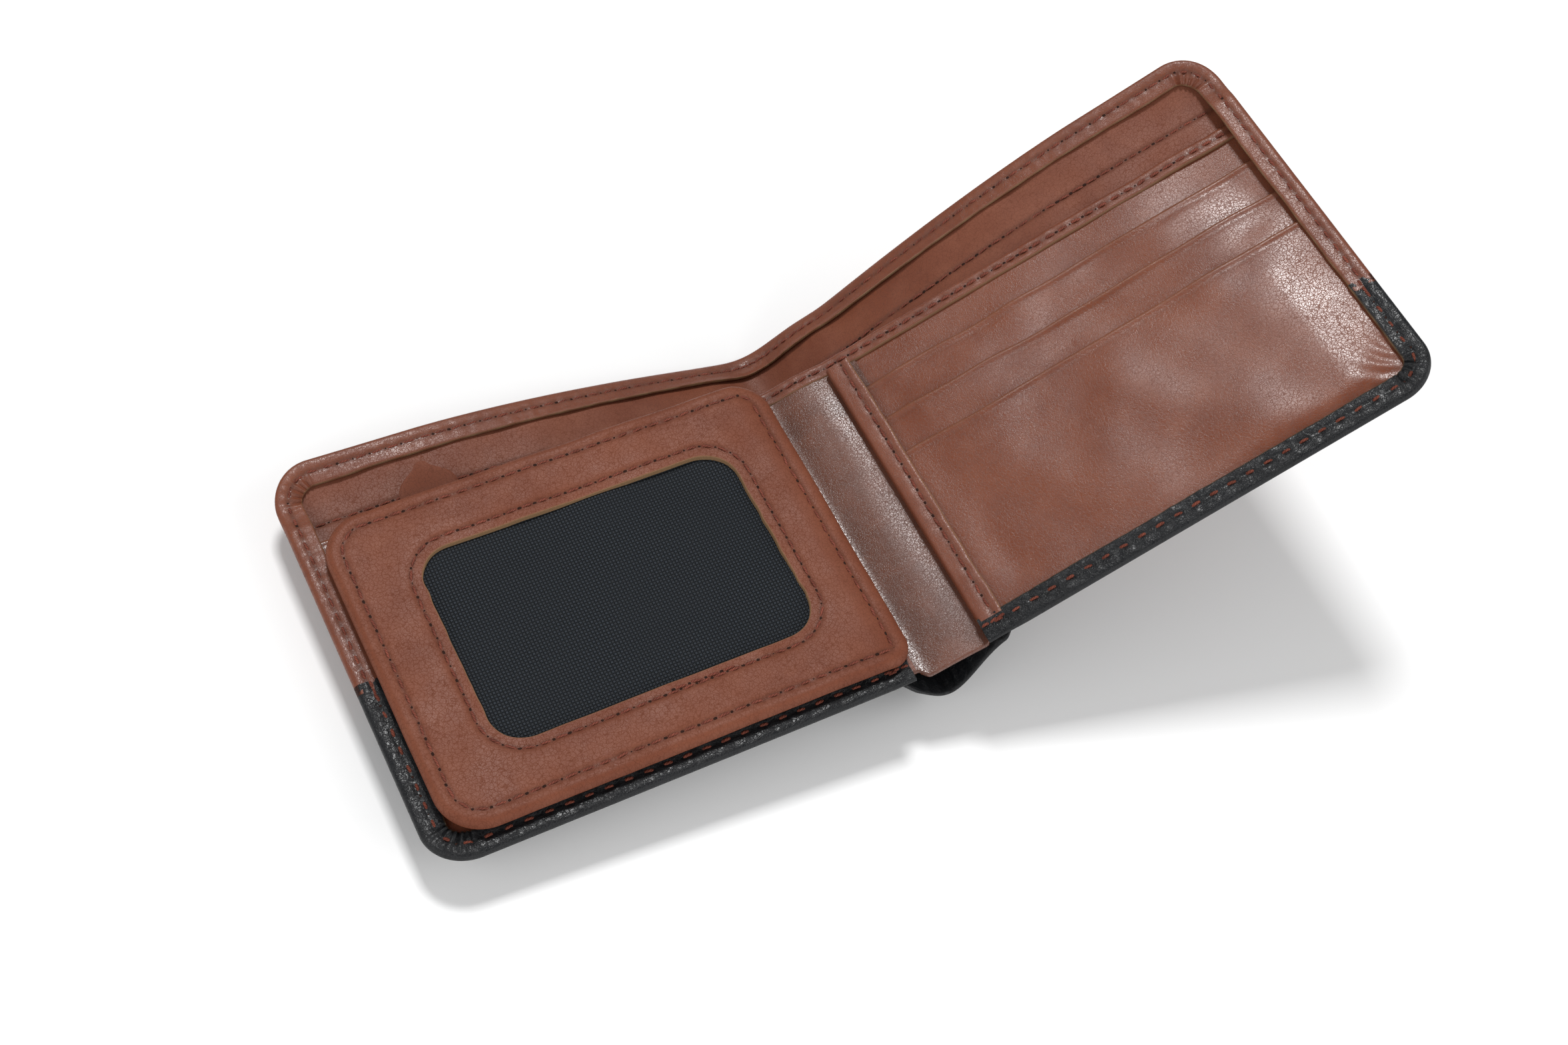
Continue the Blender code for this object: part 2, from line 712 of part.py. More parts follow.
def stand_on_origin(root):
    """Moves the wallet so that the origin is the middle of its footprint, with its lowest point at z 0."""
    bpy.context.view_layer.update()
    meshes = [obj for obj in bpy.data.objects if obj.type == "MESH"]
    corners = [obj.matrix_world @ vertex.co for obj in meshes for vertex in obj.data.vertices]
    low = [min(corner[axis] for corner in corners) for axis in range(3)]
    high = [max(corner[axis] for corner in corners) for axis in range(3)]
    root.location = (-(low[0] + high[0]) / 2, -(low[1] + high[1]) / 2, -low[2])
    bpy.context.view_layer.update()


def main():
    clear_scene()
    left, spine, right, flap = make_carriers()
    for side_name, half in (("left", (LEFT, left)), ("right", (RIGHT, right))):
        make_cover(side_name, half)
        make_lining(side_name, half)
        make_hems(side_name, half)
        make_divider(side_name, half)
        make_hem_seams(side_name, half)
        make_facing_seam(side_name, half)
    make_spine(spine)
    make_card_pockets((RIGHT, right))
    make_binding_strip((RIGHT, right))
    make_card_panel_seams((RIGHT, right))
    make_left_panel((LEFT, left))
    make_flap(flap)
    stand_on_origin(left)


main()
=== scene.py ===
"""Looks of a bifold wallet, lying open: every leather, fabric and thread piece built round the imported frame.

Lengths below are millimetres in the flat frame of one half: u from the fold hinge to the outer edge, y up
from the bottom edge, z above the inner leather. The cover and the divider run across the folds, so they have
their own running length a: it equals u on a half and goes on below that across the spine.
"""

import json
import math

import bmesh
import bpy
import numpy as np
from mathutils import Matrix, Vector


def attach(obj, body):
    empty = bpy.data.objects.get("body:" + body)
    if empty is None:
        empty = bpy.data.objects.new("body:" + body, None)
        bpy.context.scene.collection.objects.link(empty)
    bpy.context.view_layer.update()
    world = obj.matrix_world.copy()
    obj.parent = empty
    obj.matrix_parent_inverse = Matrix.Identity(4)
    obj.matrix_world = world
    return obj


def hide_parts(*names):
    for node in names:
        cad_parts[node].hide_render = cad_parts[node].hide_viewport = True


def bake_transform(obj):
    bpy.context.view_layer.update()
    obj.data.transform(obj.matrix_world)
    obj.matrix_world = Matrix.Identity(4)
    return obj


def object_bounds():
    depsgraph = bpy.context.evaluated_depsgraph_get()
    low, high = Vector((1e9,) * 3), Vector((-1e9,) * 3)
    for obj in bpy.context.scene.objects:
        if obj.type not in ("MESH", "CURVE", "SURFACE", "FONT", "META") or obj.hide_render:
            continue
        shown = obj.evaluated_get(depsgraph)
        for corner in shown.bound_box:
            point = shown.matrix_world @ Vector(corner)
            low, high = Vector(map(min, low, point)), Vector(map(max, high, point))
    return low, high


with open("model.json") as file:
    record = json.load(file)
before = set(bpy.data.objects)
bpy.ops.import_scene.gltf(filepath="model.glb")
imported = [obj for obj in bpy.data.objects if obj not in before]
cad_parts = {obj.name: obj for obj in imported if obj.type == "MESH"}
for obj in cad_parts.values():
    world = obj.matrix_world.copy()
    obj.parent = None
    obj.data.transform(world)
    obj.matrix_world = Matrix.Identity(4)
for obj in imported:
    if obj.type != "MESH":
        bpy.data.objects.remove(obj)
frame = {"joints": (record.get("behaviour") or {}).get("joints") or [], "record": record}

CAD_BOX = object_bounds()
MM = 0.001

# Half outline and how it lies, as in the CAD
HALF_WIDTH = 100.0
HEIGHT = 91.0
CORNER = 9.0
HINGE_DEPTH = 2.5
FOLD_TO_RIGHT_HINGE = 10.3
LOOP_START = 5.0
LOOP_HALF = 22.0
LOOP_STEPS = 44
LOOP_LEAN = 0.68

# Heights above the inner leather
PANEL_TOP = -0.1
PANEL_PITCH = 0.65
PANEL_THICKNESS = 0.5
DIVIDER_TOP = PANEL_TOP - 3 * PANEL_PITCH
LINING_TOP = -2.7
LINING_THICKNESS = 0.3
FACING_THICKNESS = 0.4
COVER_GAP = 0.5
COVER_THICKNESS = 0.95
COVER_BOTTOM = LINING_TOP - COVER_GAP - COVER_THICKNESS
HEM_TOP = 1.0
HEM_LEATHER = 0.9

# Shape of the bill opening
FACING_HEIGHT = 21.0
FACING_ROW = 78.0
CURL_START = 78.0
DIVIDER_HEIGHT = 72.0
BAND_WIDTH = 3.5
MOUTH_DEPTH = 13.5
MOUTH_LENGTH = 70.0
MOUTH_START = 20.0
CORNER_CURL = 4.0
LOOP_DEPTH_BOTTOM = 15.0
LOOP_DEPTH_TOP = 17.3

# Black leather ends and brown begins on a sloping seam
SEAM_AT_SPINE = 34.0
SEAM_RISE = 7.0
SEAM_LAP = 2.0
HEM_WIDTH = 5.2
HEM_SLOPE = 2.5
HEM_WIDEST = 0.80
BLACK_ROW = 3.1
BROWN_ROW = 2.5
TURN_IN_WIDTH = 13.0
EDGE_INSET = 2.9
PANEL_INSET = 2.4
BOTTOM_RISE = 0.9

# Seams: pitch, and a stitch's share of it
BLACK_SEAM = (3.9, 0.56)
BROWN_SEAM = (3.3, 0.80)
FACING_SEAM = (3.3, 0.78)
BAND_SEAM = (3.1, 0.82)
FLAP_SEAM = (3.4, 0.80)
WINDOW_SEAM = (3.2, 0.80)

# Card flap
FLAP = (1.7, 4.0, 95.7, 74.0)
FLAP_RADII = (5.0, 9.0, 9.0, 7.0)
WINDOW = (15.4, 17.3, 80.8, 60.8)
WINDOW_RADII = (7.0, 7.0, 7.0, 7.0)
EDGE_ROW = 3.2
WINDOW_ROW = 2.2
FLAP_BACK = 1.3
FLAP_TOP = 4.7
WEAVE_PITCH = 0.66


# ---- frames of the bodies


def unit(vector):
    return vector / np.linalg.norm(vector)


ALONG_Y = np.array([0.0, 1.0, 0.0])
JOINT_AT = {joint["name"]: np.array(joint["pos_m"]) for joint in frame["joints"]}
FACE_AXIS = {mount["name"]: np.array(mount["axis"]) for mount in frame["record"]["mounts"]}


class Half:
    """The flat frame of one half of the wallet."""

    def __init__(self, name, sign, hinge, outward):
        self.name = name
        self.body = name + "_half"
        self.sign = sign
        self.hinge = hinge
        self.up = -unit(outward)
        self.across = sign * np.cross(ALONG_Y, self.up)

    def place(self, u, y, z):
        """World points of flat coordinates in millimetres."""
        u, y, z = np.broadcast_arrays(np.asarray(u, float), y, z)
        depth = z + HINGE_DEPTH
        rise = u[..., None] * self.across + y[..., None] * ALONG_Y + depth[..., None] * self.up
        return self.hinge + MM * rise


LEFT = Half("left", -1, JOINT_AT["left_fold"], FACE_AXIS["left_outer_face"])
RIGHT = Half("right", 1, JOINT_AT["right_fold"], FACE_AXIS["right_outer_face"])
SPINE_AXIS = RIGHT.hinge - LEFT.hinge
SPINE_WIDTH = np.linalg.norm(SPINE_AXIS) / MM
SPINE_ACROSS = unit(SPINE_AXIS)
SPINE_UP = np.cross(SPINE_ACROSS, ALONG_Y)


def place_spine(x, y, z):
    """World points of the spine's frame, z measured from the hinges."""
    x, y, z = np.broadcast_arrays(np.asarray(x, float), y, z)
    return LEFT.hinge + MM * (x[..., None] * SPINE_ACROSS + y[..., None] * ALONG_Y + z[..., None] * SPINE_UP)


# ---- curves and noise


def ramp(value, start, end):
    return np.clip((value - start) / (end - start), 0.0, 1.0)


def smooth(value, start, end):
    share = ramp(value, start, end)
    return share * share * (3 - 2 * share)


def bump(value, centre, width):
    return np.exp(-(((value - centre) / width) ** 2))


def waves(u, y, size, seed, count=16):
    """Smooth seeded unevenness of about one unit, with bumps of about that size."""
    draw = np.random.default_rng(seed)
    total = 0.0
    for _ in range(count):
        turn = draw.uniform(0, 2 * math.pi)
        rate = 2 * math.pi / (size * draw.uniform(0.75, 1.5))
        start = draw.uniform(0, 2 * math.pi)
        total = total + np.sin(rate * (u * math.cos(turn) + y * math.sin(turn)) + start)
    return total / math.sqrt(count)


def seam_height(half, u):
    return SEAM_AT_SPINE - half.sign * SEAM_RISE * u / HALF_WIDTH


def cover_shift(u, y):
    """Height of the cover above its flat place: it gapes at the spine and curls at the outer top corner."""
    along = np.clip(1.0 - np.maximum(u, 0.0) / MOUTH_LENGTH, 0.0, 1.0) ** 1.7
    gape = MOUTH_DEPTH * along * ramp(y, MOUTH_START, HEIGHT) ** 1.5
    curl = CORNER_CURL * (np.maximum(u, 0.0) / HALF_WIDTH) ** 2 * ramp(y, CURL_START, HEIGHT) ** 1.3
    return curl - gape


# ---- sheets that run across the folds


def smoothed(table, weight, radius):
    """The table smoothed along its first axis where weight says so."""
    reach = int(3 * radius)
    kernel = np.exp(-0.5 * (np.arange(-reach, reach + 1) / radius) ** 2)
    kernel /= kernel.sum()
    padded = np.concatenate([table[:1].repeat(reach, 0), table, table[-1:].repeat(reach, 0)])
    soft = sum(share * padded[n : n + len(table)] for n, share in enumerate(kernel))
    return table + (soft - table) * weight[:, None, None]


class Leaf:
    """A surface over both halves and the spine, read by running length a, height y and offset h."""

    def __init__(self, flat, middle, start, half_length, steps, radius):
        self.start = start
        self.half_length = half_length
        rows = np.arange(0.0, HEIGHT + 1.0)
        places = np.arange(start, HALF_WIDTH + 1.0)
        shares = np.arange(1, steps) / steps
        left = flat(LEFT, places[::-1, None], rows[None, :])
        right = flat(RIGHT, places[:, None], rows[None, :])
        loop = middle(shares[:, None], rows[None, :])
        table = np.concatenate([left, loop, right])
        count = len(table)
        centre = (count - 1) / 2
        far = steps / 2 + 12
        weight = 1 - smooth(np.abs(np.arange(count) - centre), far, far + 10)
        for _ in range(2):
            table = smoothed(table, weight, radius)
        along = np.gradient(table, axis=0)
        rise = np.gradient(table, axis=1)
        normal = np.cross(along, rise)
        normal /= np.linalg.norm(normal, axis=2, keepdims=True)
        self.table = table
        self.normal = normal
        self.centre = centre
        self.steps = steps

    def index(self, half, a):
        beyond = (self.start - a) / self.half_length * self.steps / 2
        inside = self.steps / 2 + (a - self.start)
        from_centre = np.where(a < self.start, self.steps / 2 - beyond, inside)
        return self.centre + half.sign * np.maximum(from_centre, 0.0)

    def read(self, table, index, y):
        index = np.clip(index, 0, len(table) - 1.001)
        y = np.clip(y, 0, HEIGHT - 0.001)
        column = np.floor(index).astype(int)
        row = np.floor(y).astype(int)
        across = (index - column)[..., None]
        up = (y - row)[..., None]
        low = table[column, row] * (1 - across) + table[column + 1, row] * across
        high = table[column, row + 1] * (1 - across) + table[column + 1, row + 1] * across
        return low * (1 - up) + high * up

    def place(self, half, a, y, h):
        a, y, h = np.broadcast_arrays(np.asarray(a, float), y, h)
        index = self.index(half, a)
        normal = self.read(self.normal, index, y)
        normal /= np.linalg.norm(normal, axis=-1, keepdims=True)
        return self.read(self.table, index, y) + MM * h[..., None] * normal


def cover_flat(half, u, y):
    return half.place(u, y, LINING_TOP + cover_shift(u, y))


def cover_loop(share, y):
    """The loop of cover that hangs round the spine between the two halves."""
    left = cover_flat(LEFT, LOOP_START, y)
    right = cover_flat(RIGHT, LOOP_START, y)
    depth = LOOP_DEPTH_BOTTOM + (LOOP_DEPTH_TOP - LOOP_DEPTH_BOTTOM) * y / HEIGHT
    middle = ((left + right) / 2 - LEFT.hinge) @ SPINE_UP / MM
    sag = depth - HINGE_DEPTH + middle
    bell = np.cos(math.pi * (share**LOOP_LEAN - 0.5)) ** 2
    chord = left + (right - left) * share[..., None]
    return chord - MM * (sag * bell)[..., None] * SPINE_UP


def divider_flat(half, u, y):
    return half.place(u, y, np.full(np.broadcast(u, y).shape, DIVIDER_TOP))


def divider_spine(share, y):
    """The inner strip across the spine, a little proud towards the bill opening."""
    proud = (0.3 + 0.4 * y / HEIGHT) * np.sin(math.pi * share)
    return place_spine(SPINE_WIDTH * share, y, DIVIDER_TOP + HINGE_DEPTH + proud)


COVER = Leaf(cover_flat, cover_loop, LOOP_START, LOOP_HALF, LOOP_STEPS, 2.2)
DIVIDER = Leaf(divider_flat, divider_spine, 0.0, SPINE_WIDTH / 2, 28, 1.8)


# ---- mesh builders


def make_piece(name, points, faces, flat, material, slot, raw=None, seam=None, sharp=50.0):
    """A mesh object whose attributes tell its material where grain, raw edges and seams lie."""
    mesh = bpy.data.meshes.new(name)
    mesh.from_pydata(points.tolist(), [], faces)
    builder = bmesh.new()
    builder.from_mesh(mesh)
    bmesh.ops.recalc_face_normals(builder, faces=builder.faces)
    builder.to_mesh(mesh)
    builder.free()
    place = mesh.attributes.new("flat", "FLOAT_VECTOR", "POINT")
    place.data.foreach_set("vector", flat.astype(np.float32).ravel())
    for key, values in (("raw", raw), ("seam", seam)):
        values = np.zeros(len(points)) if values is None else values
        mark = mesh.attributes.new(key, "FLOAT", "POINT")
        mark.data.foreach_set("value", values.astype(np.float32).ravel())
    mesh.polygons.foreach_set("use_smooth", [True] * len(mesh.polygons))
    mesh.set_sharp_from_angle(angle=math.radians(sharp))
    mesh.materials.append(material)
    obj = bpy.data.objects.new(name, mesh)
    bpy.context.scene.collection.objects.link(obj)
    return obj


def flat_of(a, y, z=0.0):
    a, y, z = np.broadcast_arrays(np.asarray(a, float), y, z)
    return np.stack([a, y, z], -1)


def slab(name, top, bottom, flat, material, slot, raw=None, seam=None, sharp=50.0):
    """A closed sheet between two grids of points."""
    columns, rows = top.shape[:2]
    count = columns * rows
    index = np.arange(count).reshape(columns, rows)
    quads = np.stack([index[:-1, :-1], index[1:, :-1], index[1:, 1:], index[:-1, 1:]], -1).reshape(-1, 4)
    under = quads[:, ::-1] + count
    rim = np.concatenate([index[:, 0], index[-1, 1:], index[::-1, -1][1:], index[0, ::-1][1:-1]])
    after = np.roll(rim, -1)
    walls = np.stack([rim, rim + count, after + count, after], -1)
    faces = np.concatenate([quads, under, walls]).tolist()
    points = np.concatenate([top.reshape(-1, 3), bottom.reshape(-1, 3)])
    twice = np.concatenate([flat.reshape(-1, 3)] * 2)
    marks = [None if m is None else np.concatenate([m.ravel()] * 2) for m in (raw, seam)]
    return make_piece(name, points, faces, twice, material, slot, *marks, sharp=sharp)


def tube(name, rings, flat, material, slot, raw=None, seam=None, closed=False, sharp=50.0):
    """A solid swept through rings of points; closed joins the last ring to the first."""
    count, around = rings.shape[:2]
    index = np.arange(count * around).reshape(count, around)
    following = np.roll(index, -1, 0) if closed else index[1:]
    here = index if closed else index[:-1]
    quads = np.stack([here, following, np.roll(following, -1, 1), np.roll(here, -1, 1)], -1).reshape(-1, 4)
    faces = quads.tolist()
    if not closed:
        faces += [index[0].tolist(), index[-1, ::-1].tolist()]
    points, flat = rings.reshape(-1, 3), flat.reshape(-1, 3)
    marks = [None if m is None else m.ravel() for m in (raw, seam)]
    return make_piece(name, points, faces, flat, material, slot, *marks, sharp=sharp)


def swept(name, sections, material, slot, closed=False, sharp=50.0):
    """A tube from the lines along it, each with its points, flat places, raw marks and seam marks."""
    rings, flat, raw, seam = (np.stack(values, 1) for values in zip(*sections))
    return tube(name, rings, flat, material, slot, raw, seam, closed, sharp)


def fasten(piece, body, *nodes):
    """The piece stands for the nodes and rides on one body."""
    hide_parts(*nodes)
    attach(piece, body)


def bend(piece, half, reach, *nodes):
    """The piece stands for the nodes; its transform is baked into its mesh."""
    if nodes:
        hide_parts(*nodes)
    if half is LEFT:
        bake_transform(piece)
    else:
        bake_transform(piece)


def steps_between(low, high, step, edge=(0.0, 0.12, 0.3, 0.6)):
    """Places from low to high, close together at both ends so that edges can be rounded."""
    inner = np.linspace(low + edge[-1], high - edge[-1], max(2, int((high - low) / step)))
    return np.concatenate([low + np.array(edge[:-1]), inner, high - np.array(edge[:-1])[::-1]])


def eased(distance, radius):
    """How far a surface drops at this distance from its rounded edge."""
    inside = np.clip(radius - distance, 0.0, radius)
    return radius - np.sqrt(np.maximum(radius**2 - inside**2, 0.0))


def outline(box, radii, per_side=(130, 90)):
    """Points round a box with rounded corners: near-bottom, far-bottom, far-top, near-top."""
    low_u, low_y, high_u, high_y = box
    corners = [(low_u, low_y), (high_u, low_y), (high_u, high_y), (low_u, high_y)]
    arcs = []
    for number, ((u, y), radius) in enumerate(zip(corners, radii)):
        centre = (u + radius * (1 if number in (0, 3) else -1), y + radius * (1 if number < 2 else -1))
        turn = math.pi * (1 + number / 2) + math.pi / 2 * np.linspace(0, 1, 15)
        arcs.append(np.stack([centre[0] + radius * np.cos(turn), centre[1] + radius * np.sin(turn)], -1))
    points = []
    for number, (arc, following) in enumerate(zip(arcs, arcs[1:] + arcs[:1])):
        side = np.linspace(0, 1, per_side[number % 2])[1:-1, None]
        points += [arc, arc[-1] + (following[0] - arc[-1]) * side]
    return np.concatenate(points)


def box_distance(u, y, box, radii):
    """Distance inside a rounded box, negative outside it."""
    low_u, low_y, high_u, high_y = box
    centre_u, centre_y = (low_u + high_u) / 2, (low_y + high_y) / 2
    near, low = u < centre_u, y < centre_y
    radius = np.where(near, np.where(low, radii[0], radii[3]), np.where(low, radii[1], radii[2]))
    out_u = np.abs(u - centre_u) - (high_u - low_u) / 2 + radius
    out_y = np.abs(y - centre_y) - (high_y - low_y) / 2 + radius
    outside = np.hypot(np.maximum(out_u, 0), np.maximum(out_y, 0)) + np.minimum(np.maximum(out_u, out_y), 0)
    return radius - outside


# ---- materials


class Nodes:
    """Short calls for building one node material."""

    def __init__(self, name):
        self.material = bpy.data.materials.new(name)
        self.material.use_nodes = True
        self.tree = self.material.node_tree
        self.shader = self.tree.nodes["Principled BSDF"]

    def add(self, kind, links=(), **values):
        node = self.tree.nodes.new(kind)
        for key, value in values.items():
            setattr(node, key, value)
        for key, value in dict(links).items():
            self.feed(node.inputs[key], value)
        return node

    def feed(self, socket, value):
        if isinstance(value, bpy.types.NodeSocket):
            self.tree.links.new(value, socket)
        else:
            socket.default_value = value

    def attribute(self, name):
        node = self.add("ShaderNodeAttribute", attribute_name=name)
        return node.outputs["Vector"] if name == "flat" else node.outputs["Fac"]

    def noise(self, vector, scale, detail=3.0, roughness=0.55):
        links = {"Vector": vector, "Scale": scale, "Detail": detail, "Roughness": roughness}
        return self.add("ShaderNodeTexNoise", links).outputs["Fac"]

    def cells(self, vector, scale):
        links = {"Vector": vector, "Scale": scale}
        return self.add("ShaderNodeTexVoronoi", links, feature="DISTANCE_TO_EDGE").outputs["Distance"]

    def stretched(self, vector, scale, turn=0.0):
        links = {"Vector": vector, "Scale": scale, "Rotation": (0.0, 0.0, turn)}
        return self.add("ShaderNodeMapping", links).outputs["Vector"]

    def math(self, operation, one, other=0.0):
        return self.add("ShaderNodeMath", {0: one, 1: other}, operation=operation).outputs[0]

    def span(self, value, low, high, to_low=0.0, to_high=1.0):
        links = {"Value": value, "From Min": low, "From Max": high, "To Min": to_low, "To Max": to_high}
        return self.add("ShaderNodeMapRange", links).outputs["Result"]

    def mix(self, factor, one, other, blend="MIX"):
        node = self.add("ShaderNodeMix", data_type="RGBA", blend_type=blend)
        self.feed(node.inputs["Factor"], factor)
        self.feed(node.inputs[6], one)
        self.feed(node.inputs[7], other)
        return node.outputs[2]

    def bump(self, height, strength, distance):
        links = {"Height": height, "Strength": strength, "Distance": distance}
        return self.add("ShaderNodeBump", links).outputs["Normal"]

    def warped(self, vector, scale, amount):
        """The vector pushed about by noise, so that cells aren't even."""
        links = {"Vector": vector, "Scale": scale, "Detail": 2.0}
        noise = self.add("ShaderNodeTexNoise", links).outputs["Color"]
        centred = self.vectors("SUBTRACT", {0: noise, 1: (0.5, 0.5, 0.5)})
        return self.vectors("ADD", {0: vector, 1: self.vectors("SCALE", {0: centred, "Scale": amount})})

    def vectors(self, operation, links):
        return self.add("ShaderNodeVectorMath", links, operation=operation).outputs[0]

    def done(self, **inputs):
        for key, value in inputs.items():
            self.feed(self.shader.inputs[key.replace("_", " ")], value)
        return self.material


def rgb(red, green, blue):
    return (red, green, blue, 1.0)


def leather(name, dyes, grain, depth, gloss=(0.28, 0.40), crack=0.30, specular=0.40):
    """Leather with cell grain, fine creases, mottled dye and pale raw edges; the grain valleys and the seam
    marks are darkened in the colour as painted shade, the seams with some dirt too.
    """
    colour, shade, light = dyes
    n = Nodes(name)
    place = n.attribute("flat")
    cells = n.cells(n.warped(place, 0.9, 1.0), 1.0 / grain)
    small = n.cells(n.warped(place, 2.0, 0.6), 2.1 / grain)
    valley = n.math("MAXIMUM", n.span(cells, 0.0, 0.08, 1.0, 0.0), n.span(small, 0.0, 0.09, 0.5, 0.0))
    creases = n.noise(n.stretched(place, (0.5, 1.0, 0.5), 0.5), 1.5, 4.0, 0.6)
    mottle = n.noise(place, 0.035, 4.0, 0.6)
    patch = n.noise(place, 0.16, 3.0, 0.6)
    base = n.mix(n.span(mottle, 0.35, 0.65), shade, colour)
    base = n.mix(n.span(patch, 0.45, 0.75, 0.0, 0.45), base, light)
    # Painted shade: the grain valleys darkened in the colour.
    base = n.mix(n.math("MULTIPLY", valley, 0.32), base, n.mix(0.75, base, rgb(0.0, 0.0, 0.0)))
    # Painted shade, with some dirt: darker where the seam mark lies, along the stitch rows' dips and the
    # crease under the pocket lips.
    base = n.mix(n.math("MULTIPLY", n.attribute("seam"), 0.55), base, n.mix(0.6, base, rgb(0.0, 0.0, 0.0)))
    tan = n.mix(n.noise(place, 2.5, 4.0), rgb(0.17, 0.095, 0.045), rgb(0.30, 0.19, 0.10))
    base = n.mix(n.attribute("raw"), base, tan)
    rough = n.span(n.noise(place, 0.09, 3.0, 0.6), 0.35, 0.65, *gloss)
    rough = n.math("ADD", rough, n.math("MULTIPLY", valley, crack))
    rough = n.math("MAXIMUM", rough, n.math("MULTIPLY", n.attribute("raw"), 0.85))
    height = n.math("SUBTRACT", n.math("MULTIPLY", creases, 0.4), n.math("MULTIPLY", valley, 0.25))
    normal = n.bump(height, 1.0, depth)
    return n.done(Base_Color=base, Roughness=rough, Normal=normal, Specular_IOR_Level=specular)


def thread_material(name, colour, dark):
    """Waxed twisted thread."""
    n = Nodes(name)
    place = n.attribute("flat")
    links = {"Vector": place, "Scale": 0.9, "Distortion": 1.5}
    twist = n.add("ShaderNodeTexWave", links, bands_direction="DIAGONAL")
    base = n.mix(n.span(n.noise(place, 0.5, 3.0), 0.3, 0.7), dark, colour)
    # Painted shade: darker in the grooves of the twist, where the bump sinks.
    base = n.mix(n.span(twist.outputs["Fac"], 0.0, 0.5, 0.5, 0.0), base, dark, "MULTIPLY")
    normal = n.bump(n.math("ADD", twist.outputs["Fac"], n.noise(place, 6.0, 2.0)), 0.8, 0.00007)
    # Painted shade: near-black on the needle-hole discs, which are marked by raw.
    base = n.mix(n.attribute("raw"), base, rgb(0.022, 0.007, 0.004))
    return n.done(Base_Color=base, Roughness=0.7, Normal=normal, Specular_IOR_Level=0.15)


def mesh_material():
    """Black woven fabric: plain weave whose warp stands over its weft."""
    n = Nodes("window_weave")
    place = n.attribute("flat")
    parts = n.add("ShaderNodeSeparateXYZ", {"Vector": place}).outputs
    rate = math.pi / WEAVE_PITCH
    one = n.math("SINE", n.math("MULTIPLY", parts["X"], rate))
    other = n.math("SINE", n.math("MULTIPLY", parts["Y"], rate))
    over = n.math("MULTIPLY", one, other)
    warp = n.span(over, 0.02, 0.50)
    weft = n.span(over, -0.02, -0.55)
    fibres = n.noise(n.stretched(place, (3.0, 10.0, 3.0), 0.3), 1.0, 3.0)
    height = n.math("ADD", warp, n.math("MULTIPLY", weft, 0.6))
    height = n.math("ADD", height, n.math("MULTIPLY", fibres, 0.25))
    # Painted shade and painted light: the colour follows the weave's height, near-black in the gaps between
    # yarns, darker on the lower weft and lighter on the raised warp.
    base = n.mix(weft, rgb(0.004, 0.005, 0.006), rgb(0.014, 0.017, 0.021))
    base = n.mix(warp, base, rgb(0.021, 0.026, 0.033))
    base = n.mix(n.span(n.noise(place, 0.05, 4.0), 0.4, 0.65, 0.0, 0.35), base, rgb(0.012, 0.014, 0.017))
    normal = n.bump(height, 1.0, 0.00016)
    return n.done(Base_Color=base, Roughness=0.55, Normal=normal, Specular_IOR_Level=0.16)


def lining_material():
    """Thin twill lining of the bill compartment."""
    n = Nodes("twill_lining")
    place = n.attribute("flat")
    links = {"Vector": place, "Scale": 0.7, "Distortion": 0.4}
    twill = n.add("ShaderNodeTexWave", links, bands_direction="DIAGONAL")
    yarn = n.noise(n.stretched(place, (1.0, 6.0, 1.0), 0.78), 1.6, 3.0)
    # Painted shade: the colour follows the twill ribs, darker in the troughs that the bump sinks.
    base = n.mix(twill.outputs["Fac"], rgb(0.022, 0.016, 0.014), rgb(0.060, 0.044, 0.038))
    base = n.mix(n.span(yarn, 0.3, 0.7, 0.0, 0.5), base, rgb(0.036, 0.027, 0.024))
    normal = n.bump(n.math("ADD", twill.outputs["Fac"], yarn), 0.8, 0.00008)
    return n.done(Base_Color=base, Roughness=0.82, Normal=normal, Sheen_Weight=0.2)


BROWN = (rgb(0.176, 0.052, 0.025), rgb(0.138, 0.037, 0.017), rgb(0.212, 0.072, 0.039))
DARK = (rgb(0.135, 0.043, 0.022), rgb(0.085, 0.026, 0.013), rgb(0.18, 0.062, 0.034))
BLACK = (rgb(0.0075, 0.0080, 0.0095), rgb(0.0040, 0.0045, 0.0055), rgb(0.0130, 0.0140, 0.0165))
FLAP_LEATHER = leather("brown_flap_leather", BROWN, 0.8, 0.00003, (0.44, 0.55), specular=0.22)
PANEL_LEATHER = leather("brown_pocket_leather", BROWN, 0.72, 0.00004, (0.22, 0.29), crack=0.36)
HEM_LEATHER_BROWN = leather("brown_hem_leather", BROWN, 0.7, 0.00006)
COVER_BROWN = leather("brown_cover_leather", BROWN, 1.0, 0.00008, (0.36, 0.48))
FACING_LEATHER = leather("brown_facing_leather", BROWN, 0.8, 0.00003, (0.44, 0.56), specular=0.30)
DARK_LEATHER = leather("dark_spine_leather", DARK, 0.62, 0.00006, (0.20, 0.28), crack=0.45, specular=0.55)
BLACK_LEATHER = leather("black_leather", BLACK, 1.0, 0.00014, (0.28, 0.38), crack=0.25, specular=0.32)
THREAD = thread_material("rust_thread", rgb(0.21, 0.058, 0.036), rgb(0.10, 0.026, 0.016))
DARK_THREAD = thread_material("brown_thread", rgb(0.23, 0.066, 0.042), rgb(0.12, 0.034, 0.022))
WEAVE = mesh_material()
TWILL = lining_material()


# ---- stitches


